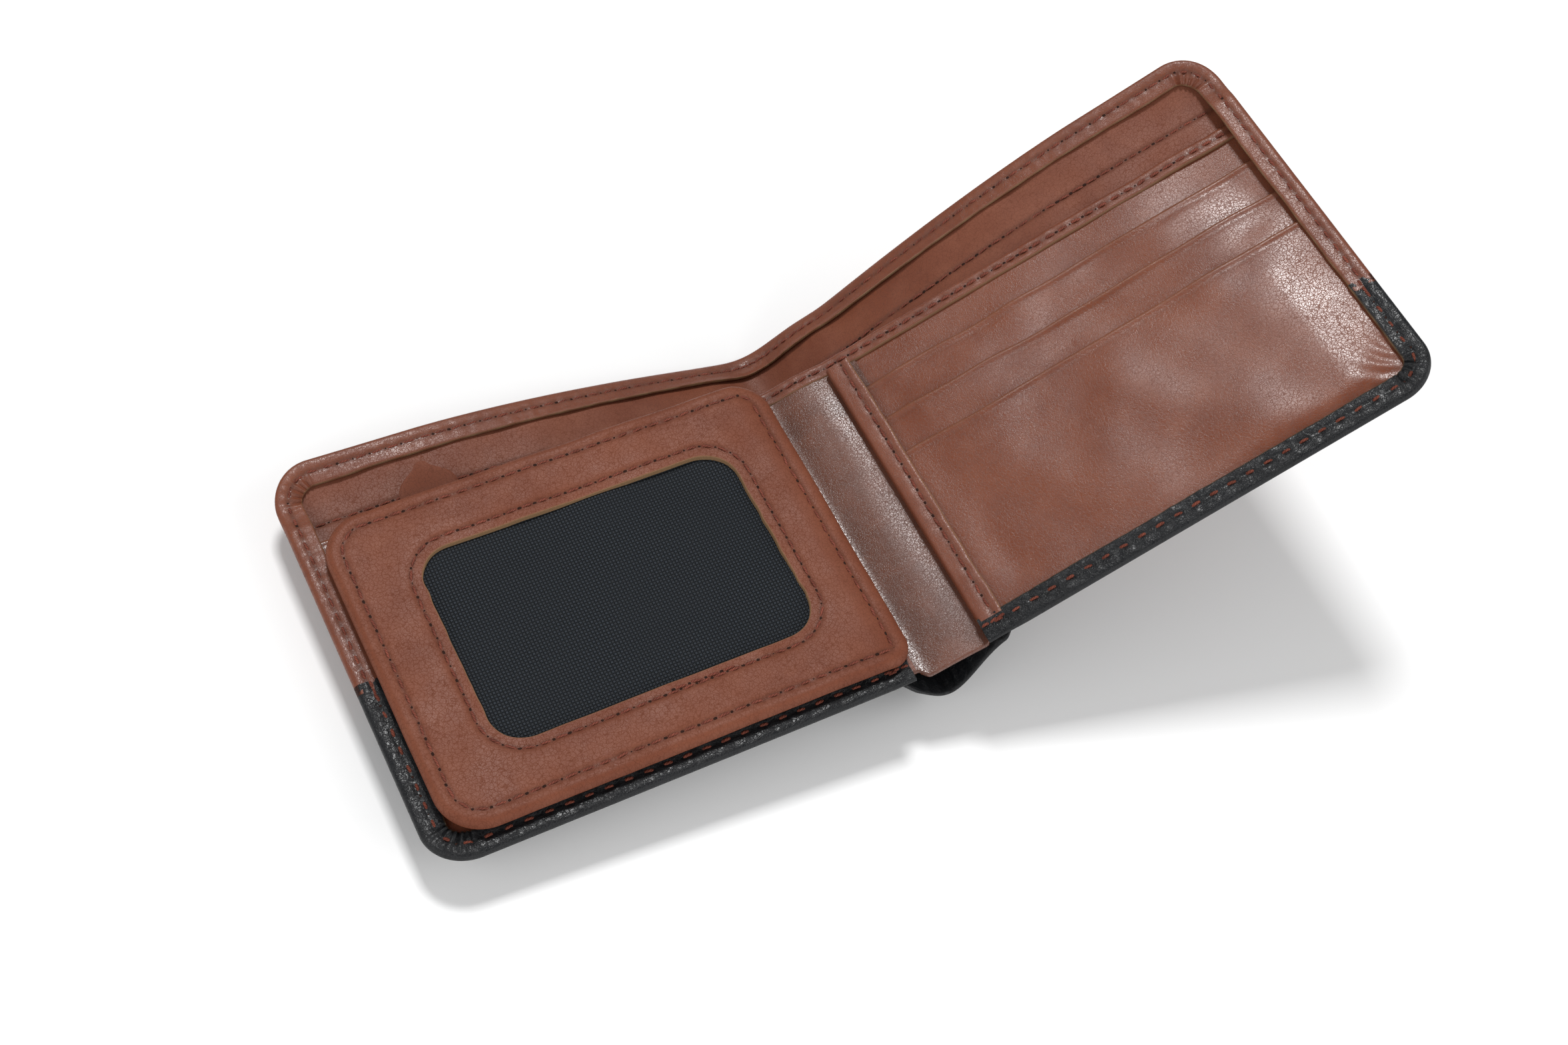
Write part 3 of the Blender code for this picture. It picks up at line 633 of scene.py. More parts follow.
def stitch_row(name, centres, tangents, normals, length, gap, width, material, seed):
    """Thread passing in and out along a seam: each stitch dives into a needle hole at its end, drawn as a
    small near-black disc of painted shade.
    """
    draw = np.random.default_rng(seed)
    rings, around = 9, 8
    along = np.linspace(-1, 1, rings)
    turn = 2 * math.pi * np.arange(around) / around
    index = np.arange(rings * around).reshape(rings, around)
    quads = np.stack(
        [index[:-1], index[1:], np.roll(index[1:], -1, 1), np.roll(index[:-1], -1, 1)], -1
    ).reshape(-1, 4)
    points, flats, raws, faces = [], [], [], []
    for number, (centre, tangent, normal) in enumerate(zip(centres, tangents, normals)):
        side = unit(np.cross(normal, tangent))
        heading = unit(tangent + draw.normal(0, 0.09) * side)
        beside = unit(np.cross(normal, heading))
        size = width / 2 * draw.uniform(0.88, 1.12)
        reach = length / 2 * draw.uniform(0.92, 1.06)
        stitch = (centre, heading, beside, reach, size, 0.30 * width * (1 - 2.3 * along**2), 0.0)
        hole_at = centre + MM * gap / 2 * tangent
        # The needle hole is a small flat disc marked 1, painted near-black by the thread material as painted
        # shade.
        hole = (hole_at, heading, beside, 0.40 * draw.uniform(0.8, 1.2), 0.24, 0.02 - 0.10 * along**2, 1.0)
        for place, forward, sideways, half_length, radius, lift, dark in (stitch, hole):
            ring_radius = radius * np.sqrt(1 - 0.72 * along**4)
            tall = 0.66 if dark == 0.0 else 0.14
            ring = (
                place
                + MM * (along * half_length)[:, None, None] * forward
                + MM * lift[:, None, None] * normal
                + MM * (ring_radius[:, None] * np.cos(turn))[..., None] * sideways
                + MM * (tall * ring_radius[:, None] * np.sin(turn))[..., None] * normal
            )
            start = len(points) * rings * around
            points.append(ring.reshape(-1, 3))
            step = np.broadcast_arrays((along * half_length)[:, None] + 4.0 * number, radius * turn[None, :])
            flats.append(np.stack([*step, np.full(step[0].shape, float(number))], -1).reshape(-1, 3))
            raws.append(np.full(rings * around, dark))
            faces += (quads + start).tolist()
            faces += [(index[0] + start).tolist(), (index[-1, ::-1] + start).tolist()]
    points, flats, raws = (np.concatenate(values) for values in (points, flats, raws))
    return make_piece(name, points, faces, flats, material, "thread", raw=raws, sharp=80.0)


def seam_points(line, pitch, closed):
    """Middles of the stitches along a dense line of places, and the pitch that divides it evenly."""
    ends = np.concatenate([line, line[:1]]) if closed else line
    run = np.concatenate([[0.0], np.cumsum(np.linalg.norm(np.diff(ends, axis=0), axis=1))])
    count = max(1, round(run[-1] / pitch))
    at = (np.arange(count) + 0.5) * run[-1] / count
    return np.stack([np.interp(at, run, ends[:, axis]) for axis in range(ends.shape[1])], -1), run[-1] / count


def sew(name, surface, line, seam, width, material, seed, closed=False, extra=None):
    """Stitches along a line of (u, y) on a surface(u, y, h) in world space."""
    pitch, share = seam
    at, real_pitch = seam_points(line, pitch, closed)
    if extra is not None:
        at = np.concatenate([at, extra])
    ends = np.concatenate([line, line[:1]]) if closed else line
    nearest = np.array([np.argmin(np.linalg.norm(ends - place, axis=1)) for place in at])
    before = ends[np.maximum(nearest - 1, 0)]
    after = ends[np.minimum(nearest + 1, len(ends) - 1)]
    heading = after - before
    heading /= np.linalg.norm(heading, axis=1, keepdims=True)
    small = 0.2
    centre = surface(at[:, 0], at[:, 1], 0.0)
    ahead = surface(at[:, 0] + small * heading[:, 0], at[:, 1] + small * heading[:, 1], 0.0)
    raised = surface(at[:, 0], at[:, 1], 0.5)
    tangents = [unit(vector) for vector in ahead - centre]
    normals = [unit(vector) for vector in raised - centre]
    return stitch_row(name, centre, tangents, normals, real_pitch * share, real_pitch, width, material, seed)


# ---- cover, linings and facing


LOOP_MIDDLE = LOOP_START - LOOP_HALF
LOOP_BEND = (5.0, SPINE_WIDTH / 2 - 1.5)


def half_columns(step):
    """Running lengths from the outer edge to the middle of the loop."""
    outer = HALF_WIDTH - EDGE_INSET
    return np.linspace(outer, LOOP_MIDDLE, int((outer - LOOP_MIDDLE) / step) + 1)


def lower_edge(u, inset=EDGE_INSET):
    radius = CORNER - inset
    reach = np.clip(u - (HALF_WIDTH - CORNER), 0.0, radius)
    return BOTTOM_RISE + inset + radius - np.sqrt(radius**2 - reach**2)


def upper_edge(u):
    return HEIGHT + BOTTOM_RISE - lower_edge(u)


def level(y):
    """An outline at one height."""
    return lambda u: np.full(u.shape, y)


def cover_sheet(name, half, outlines, offset, thickness, material, slot, nodes, relief, step=1.0, seam=None):
    """A layer of the cover of one half and its half of the loop, between outlines low(u) and high(u)."""
    a = half_columns(step)
    low_y, high_y = (line(np.maximum(a, 0.0))[:, None] for line in outlines)
    share = steps_between(0.0, 1.0, 1.0 / 60, edge=(0.0, 0.002, 0.005, 0.01))
    y = low_y + (high_y - low_y) * share[None, :]
    places = np.broadcast_to(a[:, None], y.shape)
    lift = relief(places, y)
    drop = eased(np.minimum(y - low_y, high_y - y), 0.45 * thickness)
    top = COVER.place(half, places, y, offset - drop + lift)
    bottom = COVER.place(half, places, y, offset - thickness + drop + lift)
    marks = None if seam is None else seam(places, y)
    piece = slab(name, top, bottom, flat_of(places, y), material, slot, seam=marks)
    bend(piece, half, LOOP_BEND, *nodes)
    return piece


def cover_relief(a, y, seed):
    return 0.10 * waves(a, y, 22.0, seed) + 0.04 * waves(a, y, 6.0, seed + 1)


def make_cover(half):
    def above_seam(a, y):
        return y - seam_height(half, np.maximum(a, 0.0))

    def black_relief(a, y):
        return cover_relief(a, y, 21)

    def brown_relief(a, y):
        above = above_seam(a, y)
        return cover_relief(a, y, 31) - 0.55 * smooth(above, 3.0, 1.5) + 0.15 * bump(above, 1.3, 0.5)

    black = (lower_edge, lambda u: seam_height(half, u) + SEAM_LAP)
    brown = (lambda u: seam_height(half, u), upper_edge)
    for colour, part, outlines, material, relief in (
        ("black", "lower", black, BLACK_LEATHER, black_relief),
        ("brown", "upper", brown, COVER_BROWN, brown_relief),
    ):
        nodes = (f"cover_{part}_{half.name}", f"cover_{part}_spine")
        name, slot = f"cover_{colour}_{half.name}", f"{colour}_leather"
        cover_sheet(name, half, outlines, -COVER_GAP, COVER_THICKNESS, material, slot, nodes, relief)


def make_linings(half):
    side = half.name
    facing_low = HEIGHT - FACING_HEIGHT

    def fabric_relief(a, y):
        return 0.08 * waves(a, y, 18.0, 41)

    def facing_relief(a, y):
        return 0.45 + 0.10 * waves(a, y, 14.0, 51) - 0.18 * bump(y, FACING_ROW, 0.5)

    # Seam mark along the facing's stitch row: painted shade and dirt in the material.
    def facing_seam(a, y):
        return bump(y, FACING_ROW, 0.7)

    outlines = (lower_edge, level(facing_low + 1.0))
    fabric = cover_sheet(
        f"lining_fabric_{side}", half, outlines, 0.0, LINING_THICKNESS, TWILL, "fabric",
        (f"lining_{side}", "lining_spine"), fabric_relief, step=1.5,
    )
    outlines = (level(facing_low - 0.4), upper_edge)
    cover_sheet(
        f"facing_{side}", half, outlines, 0.0, FACING_THICKNESS, FACING_LEATHER, "lining_leather",
        (f"lining_facing_{side}", "lining_facing_spine"), facing_relief, seam=facing_seam,
    )


# ---- turned-in hems


def hem_top(u, y):
    """Top of the hem: over the pockets on the sides, and close on the facing above the divider."""
    over_facing = LINING_TOP + 0.5 + HEM_LEATHER + cover_shift(u, y)
    share = smooth(y, DIVIDER_HEIGHT + BAND_WIDTH, HEIGHT - 4.0)
    return HEM_TOP + (over_facing - HEM_TOP) * share


def hem_profile(width, rolled):
    """Corners of the hem's section, sloping in below: inset, share of its height, extra height, how raw."""
    rise = np.linspace(0, HEM_WIDEST, 6)
    wall = [(HEM_SLOPE * (1 - share / HEM_WIDEST) ** 1.2, share, 0.0, 0.0) for share in rise]
    turn = np.linspace(0.2, math.pi / 2, 6)
    roll = [(rolled * (1 - math.cos(t)), HEM_WIDEST + (1 - HEM_WIDEST) * math.sin(t), 0.0, 0.0) for t in turn]
    flat = [(d, 1.0, 0.0, 0.0) for d in np.linspace(rolled + 0.35, width - 0.3, 12)]
    edge = [(width - 0.08, 1.0, -0.10, 0.4), (width, 1.0, -0.30, 1.0), (width, 1.0, -0.62, 1.0)]
    under = [(width - 0.2, 1.0, -0.85, 0.3), (rolled + 0.8, 1.0, -0.85, 0.0), (rolled + 0.9, 0.6, 0.0, 0.0)]
    lip = HEM_SLOPE + 0.9
    inside = [(lip - 0.1, 0.0, 0.8, 0.0), (lip, 0.0, 0.8, 0.0)]
    return [(lip, 0.0, 0.0, 0.0)] + wall + roll + flat + edge + under + inside


def outline_path(points, inward, step=0.55):
    """Points and inward directions resampled evenly, with the running length."""
    points, inward = np.array(points), np.array(inward)
    run = np.concatenate([[0.0], np.cumsum(np.linalg.norm(np.diff(points, axis=0), axis=1))])
    at = np.linspace(0, run[-1], int(run[-1] / step) + 1)
    points = np.stack([np.interp(at, run, points[:, axis]) for axis in (0, 1)], -1)
    inward = np.stack([np.interp(at, run, inward[:, axis]) for axis in (0, 1)], -1)
    inward /= np.linalg.norm(inward, axis=1, keepdims=True)
    return points, inward, at


def corner_points(centre_y, first):
    turn = first + math.pi / 2 * np.linspace(0, 1, 25)
    out = np.stack([np.cos(turn), np.sin(turn)], -1)
    return np.array([HALF_WIDTH - CORNER, centre_y]) + CORNER * out, -out


def black_path(half, start):
    arc, inward = corner_points(CORNER, -math.pi / 2)
    top = seam_height(half, HALF_WIDTH)
    points = np.concatenate([[(start, 0.0)], [(HALF_WIDTH - CORNER - 1, 0.0)], arc, [(HALF_WIDTH, top)]])
    points[:, 1] += BOTTOM_RISE * (1 - ramp(points[:, 1], 0.0, CORNER))
    inward = np.concatenate([[(0.0, 1.0)] * 2, inward, [(-1.0, 0.0)]])
    return outline_path(points, inward)


def brown_path(half, end):
    arc, inward = corner_points(HEIGHT - CORNER, 0.0)
    bottom = seam_height(half, HALF_WIDTH) - 2.0
    side = [(HALF_WIDTH, bottom), (HALF_WIDTH, HEIGHT - CORNER - 1)]
    points = np.concatenate([side, arc, [(end, HEIGHT)]])
    inward = np.concatenate([[(-1.0, 0.0)] * 2, inward, [(0.0, -1.0)]])
    return outline_path(points, inward)


def corner_amount(points):
    """1 in the middle of a rounded corner, 0 along the straight sides."""
    u, y = points.T
    by_height = smooth(CORNER + 1 - y, -1, 2) + smooth(y, HEIGHT - CORNER - 1, HEIGHT - CORNER + 2)
    return np.clip(smooth(u, HALF_WIDTH - CORNER - 1, HALF_WIDTH - CORNER + 2) * by_height, 0, 1)


def hem_relief(d, row, s, corner, pitch, seed, wrinkle):
    """Pillowed leather pulled down by each stitch, with pleats round the corner."""
    dip = 0.24 * bump(d, row, 0.5) * (0.65 + 0.35 * np.cos(2 * math.pi * s / pitch))
    crown = 0.06 * bump(d, 1.7, 0.8) + 0.05 * bump(d, 4.6, 0.7)
    pleats = corner * 0.30 * ramp(d, 0.4, 3.5) * np.sin(2 * math.pi * s / 2.3 + 0.6 * np.sin(s / 2.0))
    ripple = wrinkle * (waves(s, 0.35 * d, 2.6, seed) * 0.5 + waves(s, d, 1.3, seed + 1) * 0.3)
    return crown - dip + pleats + ripple * smooth(d, 0.0, 1.2)


def make_hem(name, path, row, bottom, place, material, slot, pitch, wrinkle, seed):
    """A hem wrapped over the edge along a path; place turns u, y and height into world points."""
    points, inward, run = path
    corner = corner_amount(points)
    sections = []
    for inset, share, extra, raw in hem_profile(HEM_WIDTH, 1.0):
        wobble = 0.08 * waves(run, 0 * run, 12.0, seed + 5) * smooth(inset, 2.5, HEM_WIDTH)
        u = points[:, 0] + inward[:, 0] * (inset + wobble)
        y = points[:, 1] + inward[:, 1] * (inset + wobble)
        low, height = bottom(u, y), hem_top(u, y) - bottom(u, y)
        outside = share == 1.0 and extra > -0.4
        lift = hem_relief(inset, row, run, corner, pitch, seed, wrinkle) if outside else 0.0
        worn = np.clip(raw * (0.75 + 0.25 * np.sin(run)), 0, 1)
        # Seam mark along the stitch row's dip: painted shade and dirt in the material.
        seam = np.full(len(run), float(bump(inset, row, 0.5)) * (share == 1.0))
        line = place(u, y, low + height * share + extra + lift)
        sections.append((line, flat_of(run, inset + 3.0 * (1 - share)), worn, seam))
    return swept(name, sections, material, slot, sharp=60.0)


def stitch_line(path, inset):
    points, inward, _ = path
    return points + inward * inset


def make_hems(half):
    make_black_hem(half)
    make_brown_hem(half)
    places = np.arange(HALF_WIDTH - 5.5, LOOP_MIDDLE, -0.5)
    line = np.stack([places, np.full(len(places), FACING_ROW)], -1)

    def surface(a, y, h):
        return COVER.place(half, a, y, 0.30 + h)

    thread = sew(f"facing_stitches_{half.name}", surface, line, FACING_SEAM, 0.5, DARK_THREAD, 95)
    bend(thread, half, LOOP_BEND, f"facing_thread_{half.name}")


def make_black_hem(half):
    side = half.name
    path = black_path(half, -0.3 if half is RIGHT else 3.2)

    def bottom(u, y):
        return COVER_BOTTOM + 2.2 * smooth(-u, -9.0, -2.0) + cover_shift(u, y) * smooth(u, 4.0, 9.0)

    def surface(u, y, h):
        return half.place(u, y, hem_top(u, y) - 0.22 + h)

    piece = make_hem(
        f"hem_black_leather_{side}", path, BLACK_ROW, bottom, half.place, BLACK_LEATHER, "black_leather",
        BLACK_SEAM[0], 0.16, 61,
    )
    fasten(piece, half.body, f"hem_black_{side}")
    line = stitch_line(path, BLACK_ROW)
    ends = line[[2, 5, 8, -3, -6]] + np.array([0.0, 0.35])
    thread = sew(f"hem_black_stitches_{side}", surface, line[3:-3], BLACK_SEAM, 0.60, THREAD, 71, extra=ends)
    fasten(thread, half.body, f"hem_black_thread_{side}")


def make_brown_hem(half):
    side = half.name
    path = brown_path(half, LOOP_MIDDLE)

    def bottom(u, y):
        return COVER_BOTTOM + cover_shift(u, y)

    def leaf(u, y, z):
        """Heights above the inner leather turned into offsets from the cover's inner face."""
        return COVER.place(half, u, y, z - LINING_TOP - cover_shift(u, y))

    def surface(u, y, h):
        return leaf(u, y, hem_top(u, y) - 0.2 + h)

    piece = make_hem(
        f"hem_brown_leather_{side}", path, BROWN_ROW, bottom, leaf, HEM_LEATHER_BROWN, "brown_leather",
        BROWN_SEAM[0], 0.07, 81,
    )
    bend(piece, half, LOOP_BEND, f"hem_brown_{side}", "hem_brown_spine")
    line = stitch_line(path, BROWN_ROW)
    thread = sew(f"hem_brown_stitches_{side}", surface, line[4:], BROWN_SEAM, 0.52, DARK_THREAD, 91)
    bend(thread, half, LOOP_BEND, f"hem_brown_thread_{side}")


def make_loop_turn_in(half):
    """Black leather turned up inside the bottom of the loop."""
    a = np.linspace(9.0, LOOP_MIDDLE, 60)
    points = np.stack([a, BOTTOM_RISE + 2.0 * smooth(a, 1.0, 6.0)], -1)
    points, _, run = outline_path(points, np.tile([0.0, 1.0], (len(a), 1)))
    low = COVER_BOTTOM - LINING_TOP + 0.1
    high = 0.75
    unmarked = np.zeros(len(run))
    sections = []
    for inset, share, extra, _ in hem_profile(TURN_IN_WIDTH, 0.9):
        y = points[:, 1] + inset
        crease = 0.28 * waves(run, 0.25 * y, 3.0, 101) * smooth(inset, 0.5, 4.0) * (share == 1.0)
        line = COVER.place(half, points[:, 0], y, low + (high - low) * share + extra + crease)
        sections.append((line, flat_of(run, inset + 3.0 * (1 - share)), unmarked, unmarked))
    piece = swept(f"loop_turn_in_{half.name}", sections, BLACK_LEATHER, "black_leather", sharp=60.0)
    bend(piece, half, LOOP_BEND, "cover_lower_spine")


# ---- divider, its band and the spine strip


def make_divider(half):
    side = half.name
    u = np.linspace(HALF_WIDTH - PANEL_INSET, 2.5, 97)
    share = steps_between(0.0, 1.0, 1.0 / 48, edge=(0.0, 0.003, 0.006, 0.01))
    low = lower_edge(u, PANEL_INSET)
    y = low[:, None] + (DIVIDER_HEIGHT - low)[:, None] * share[None, :]
    places = np.broadcast_to(u[:, None], y.shape)
    swell = 0.18 * waves(places, y, 24.0, 111) * smooth(places, 2.0, 12.0)
    drop = eased(DIVIDER_HEIGHT - y, 0.22)
    top = half.place(places, y, DIVIDER_TOP - drop + swell)
    bottom = half.place(places, y, DIVIDER_TOP - PANEL_THICKNESS + drop + swell)
    piece = slab(f"divider_leather_{side}", top, bottom, flat_of(places, y), PANEL_LEATHER, "brown_leather")
    fasten(piece, half.body, f"divider_{side}")


STRIP_REACH = 6.0
STRIP_ENDS = (1.6, 70.5)
STRIP_BEND = (1.5, 5.0)


def make_spine_strip(half):
    """Half of the dark strip across the spine; its lower end lies over the black hem."""
    low, high = STRIP_ENDS
    a = np.linspace(STRIP_REACH, -SPINE_WIDTH / 2, 36)
    places, y = np.meshgrid(a, steps_between(low, high, 0.6), indexing="ij")
    y = y + 1.7 * smooth(places, -1.0, 0.6) * (1 - ramp(y, low, 12.0))
    fold = 0.07 * waves(places, 0.6 * y, 16.0, 121)
    drop = eased(np.minimum(y - y[:, :1], high - y), 0.25)
    turned = 0.7 * smooth(-y, -4.5, -2.5)
    top = DIVIDER.place(half, places, y, 0.45 - drop + fold)
    bottom = DIVIDER.place(half, places, y, -0.15 - turned + drop + fold)
    piece = slab(f"spine_strip_{half.name}", top, bottom, flat_of(places, y), DARK_LEATHER, "dark_leather")
    bend(piece, half, STRIP_BEND, "divider_spine")


BAND_TOP = DIVIDER_HEIGHT + 1.0
BAND_LINE = BAND_TOP - BAND_WIDTH / 2 - 0.1
BAND_FACE = 0.8
BAND_BEND = (3.5, 3.5)


def band_profile():
    """Section of the rolled band: height along y, offset above the divider, how raw."""
    low = BAND_TOP - BAND_WIDTH
    turn = np.linspace(math.pi / 2, -math.pi / 2, 9)
    roll = [(BAND_TOP - 0.75 + 0.75 * math.cos(t), BAND_FACE * math.sin(t), 0.0) for t in turn]
    face = [(y, BAND_FACE, 0.0) for y in np.linspace(low + 0.25, BAND_TOP - 1.0, 9)]
    edge = [(low, -0.05, 0.5), (low, 0.45, 0.7), (low + 0.08, 0.68, 0.4)]
    back = [(low + 1.5, -BAND_FACE, 0.0), (low + 1.5, -0.05, 0.0)]
    return edge + face + roll + back


def make_band(half):
    side = half.name
    a = np.linspace(HALF_WIDTH - 2.0, -SPINE_WIDTH / 2, 190)
    wobble = 0.06 * waves(a, 0 * a, 12.0, 131)
    puck = 0.7 + 0.3 * np.cos(2 * math.pi * a / BAND_SEAM[0])
    sections = []
    for y, h, raw in band_profile():
        # Seam mark along the stitch row's dip: painted shade and dirt in the material.
        seam = float(bump(y, BAND_LINE, 0.5)) * (h >= BAND_FACE - 0.01)
        lift = 0.05 * waves(a, y, 3.0, 132) - 0.22 * seam * puck
        line = DIVIDER.place(half, a, y + wobble, h + lift)
        sections.append((line, flat_of(a, y + h), np.full(a.shape, raw), np.full(a.shape, seam)))
    piece = swept(f"divider_rolled_band_{side}", sections, HEM_LEATHER_BROWN, "brown_leather")
    bend(piece, half, BAND_BEND, f"divider_band_{side}", "divider_band_spine")

    def surface(u, y, h):
        return DIVIDER.place(half, u, y, 0.68 + h)

    line = np.stack([a[6:], np.full(len(a) - 6, BAND_LINE)], -1)
    thread = sew(f"divider_band_stitches_{side}", surface, line, BAND_SEAM, 0.62, DARK_THREAD, 141)
    bend(thread, half, BAND_BEND, *(["divider_band_thread"] if half is RIGHT else []))


# ---- card slots


def pocket_relief(u, y, seed):
    held = smooth(box_distance(u, y, (1.0, 0.0, HALF_WIDTH, HEIGHT + 20.0), (CORNER,) * 4), 4.5, 12.0)
    return held * (0.45 * waves(u, y, 30.0, seed) + 0.07 * waves(u, y, 11.0, seed + 1))


LIP = 2.8


def make_slot_piece(name, node, half, u_low, y_low, y_high, top_z, relief, seed):
    """A pocket leaf with a turned upper edge, finely divided within its lip."""
    u = np.linspace(HALF_WIDTH - PANEL_INSET, u_low, 140)
    low = np.maximum(lower_edge(u, PANEL_INSET), y_low)
    edge = np.array([0.0, 0.08, 0.2, 0.35, 0.55, 0.8, 1.1, 1.5, 1.9, 2.3, LIP])
    share = np.linspace(0, 1, max(12, int((y_high - y_low) / 0.7)))
    y_top = y_high + 0.18 * waves(u, 0 * u, 22.0, seed + 9)
    body = low[:, None] + (y_top - LIP - low)[:, None] * share[None, :]
    y = np.concatenate([body, y_top[:, None] - edge[::-1][None, 1:]], 1)
    places = np.broadcast_to(u[:, None], y.shape)
    d = y_top[:, None] - y
    z = top_z + relief(places, y) + 0.15 * bump(d, 0.55, 0.45) - 0.05 * bump(d, 1.7, 0.5)
    drop = eased(d, 0.28)
    top = half.place(places, y, z - drop)
    bottom = half.place(places, y, z - PANEL_THICKNESS - 0.2 * bump(d, 0.6, 0.5) + 0.5 * drop)
    # Painted shade in the crease under the lip, carried as the seam mark, and a painted highlight as a pale
    # raw-edge line along the lip.
    line = 0.30 * bump(d, 1.7, 0.35)
    lip_highlight = 0.14 * bump(d, 0.3, 0.3)
    piece = slab(name, top, bottom, flat_of(places, y), PANEL_LEATHER, "brown_leather", raw=lip_highlight, seam=line)
    fasten(piece, half.body, node)


def front_relief(u, y):
    """Swelling and creases of the front pocket, pressed out by the card it has held."""
    card = box_distance(u, y, (14.0, -20.0, 87.5, 42.0), (5.0,) * 4)
    shape = 0.50 * smooth(card, -4.0, 4.0) * smooth(u, 20.0, 70.0)
    angle = np.arctan2(y - 2.0, u - 101.0)
    reach = np.hypot(u - 99.0, y - 4.0)
    creases = 0.16 * np.sin(angle * 26.0 + 0.8 * np.sin(reach / 2.0)) * bump(reach, 9.0, 4.5)
    bulge = 0.45 * bump(np.hypot(u - 80.0, (y - 22.0) / 1.3), 0.0, 12.0)
    held = smooth(box_distance(u, y, (1.0, 0.0, HALF_WIDTH, HEIGHT), (CORNER,) * 4), 4.6, 9.0)
    return 0.7 * pocket_relief(u, y, 151) + held * (shape + bulge) + creases


def make_card_slots():
    def slot_relief(seed):
        return lambda u, y: pocket_relief(u, 1.3 * y, seed) * 0.9

    for name, node, y_low, y_high, number, relief in (
        ("card_slot_leather_upper", "card_slot_2", 41.8, 62.8, 2, slot_relief(171)),
        ("card_slot_leather_lower", "card_slot_1", 33.0, 53.9, 1, slot_relief(161)),
        ("card_pocket_leather", "card_pocket_front", 2.0, 45.0, 0, front_relief),
    ):
        top = PANEL_TOP - PANEL_PITCH * number
        make_slot_piece(name, node, RIGHT, 1.0, y_low, y_high, top, relief, 180 + number)


BINDING_ENDS = (5.2, 70.0)
BINDING_EDGE = 4.9
BINDING_LINE = 3.0


def make_binding_strip():
    y = np.arange(*BINDING_ENDS, 0.6)
    top = HEM_TOP + 0.1
    edge_u = BINDING_EDGE
    turn = np.linspace(-math.pi / 2, math.pi / 2, 9)
    middle, half_height = (top - 1.9) / 2, (top + 1.9) / 2
    roll = [(-0.4 + 0.8 * (1 - math.cos(t)), middle + half_height * math.sin(t), 0.0, 0.0) for t in turn]
    face = [(u, top, 0.0, 1.0) for u in np.linspace(0.7, edge_u - 0.25, 10)]
    edge = [(edge_u - 0.08, top - 0.12, 0.5, 0.0), (edge_u, top - 0.3, 1.0, 0.0), (edge_u, -0.25, 1.0, 0.0)]
    sections = []
    for u, z, raw, on_face in roll + face + edge + [(0.9, -0.4, 0.0, 0.0), (0.7, -1.8, 0.0, 0.0)]:
        wobble = 0.10 * waves(y, 0 * y, 12.0, 191) * (u > 3)
        # Seam mark along the stitch row's dip: painted shade and dirt in the material.
        seam = on_face * float(bump(u, BINDING_LINE, 0.5))
        dip = 0.16 * seam * (0.7 + 0.3 * np.cos(2 * math.pi * y / FACING_SEAM[0]))
        crown = on_face * 0.05 * bump(u, 1.4, 0.7) + 0.05 * waves(y, u, 3.0, 192)
        line = RIGHT.place(u + wobble, y, z - dip + crown)
        sections.append((line, flat_of(u + z, y), np.full(y.shape, raw), np.full(y.shape, seam)))
    piece = swept("binding_strip_leather", sections, HEM_LEATHER_BROWN, "brown_leather")
    fasten(piece, RIGHT.body, "binding_strip")

    def surface(u, y, h):
        return RIGHT.place(u, y, top - 0.10 + h)

    rows = np.arange(6.6, 69.0, 0.5)
    line = np.stack([np.full(len(rows), BINDING_LINE), rows], -1)
    thread = sew("binding_stitches", surface, line, FACING_SEAM, 0.55, DARK_THREAD, 195)
    fasten(thread, RIGHT.body, "binding_thread")


# ---- left panel and flap


def make_left_panel():
    def relief(u, y):
        return pocket_relief(u, y, 201) * 0.5

    make_slot_piece("slip_pocket_leather", "left_slip_pocket", LEFT, 2.0, 2.0, 73.0, PANEL_TOP, relief, 205)
    make_pocket_tab()
    make_hinge_strip()


def make_pocket_tab():
    """Tab of pocket leather that curls up behind the flap's top edge."""
    share = np.linspace(0, 1, 30)[None, :]
    across = np.linspace(-1, 1, 26)[:, None]
    wide = 6.0 * np.sqrt(np.clip(1 - smooth(share, 0.72, 1.0) ** 3, 0.03, 1))
    u = 70.5 + wide * across + 1.0 * share
    y = np.broadcast_to(58.0 + 22.6 * share, u.shape)
    z = PANEL_TOP - PANEL_PITCH - 0.2 + 4.4 * share**5 + 0.5 * (1 - across**2) * share
    drop = eased((1 - np.abs(across)) * 12.0 + 0 * u, 0.25)
    top = LEFT.place(u, y, z - drop)
    bottom = LEFT.place(u, y, z - 0.55 + drop)
    piece = slab("pocket_tab_leather", top, bottom, flat_of(u, y), FACING_LEATHER, "lining_leather")
    fasten(piece, LEFT.body, "left_pocket_tab")


def make_hinge_strip():
    """Strip on the left half that the flap is sewn to."""
    low_u, low_y, high_u, high_y = 3.0, 8.0, 12.0, 68.0
    u, y = np.meshgrid(steps_between(low_u, high_u, 0.7), steps_between(low_y, high_y, 1.0), indexing="ij")
    d = np.minimum(np.minimum(u - low_u, high_u - u), np.minimum(y - low_y, high_y - y))
    top = LEFT.place(u, y, PANEL_TOP + 1.1 - eased(d, 0.4) + 0.06 * waves(u, y, 6.0, 211))
    bottom = LEFT.place(u, y, PANEL_TOP + 0.2 + 0 * u)
    piece = slab("flap_hinge_leather", top, bottom, flat_of(u, y), HEM_LEATHER_BROWN, "brown_leather")
    fasten(piece, LEFT.body, "flap_hinge_strip")


def flap_ring(t):
    """The flap's outline at 0, the window's outline at 1, and rings between."""
    outer = outline(FLAP, FLAP_RADII)
    inner = outline(WINDOW, WINDOW_RADII)
    return outer + (inner - outer) * t


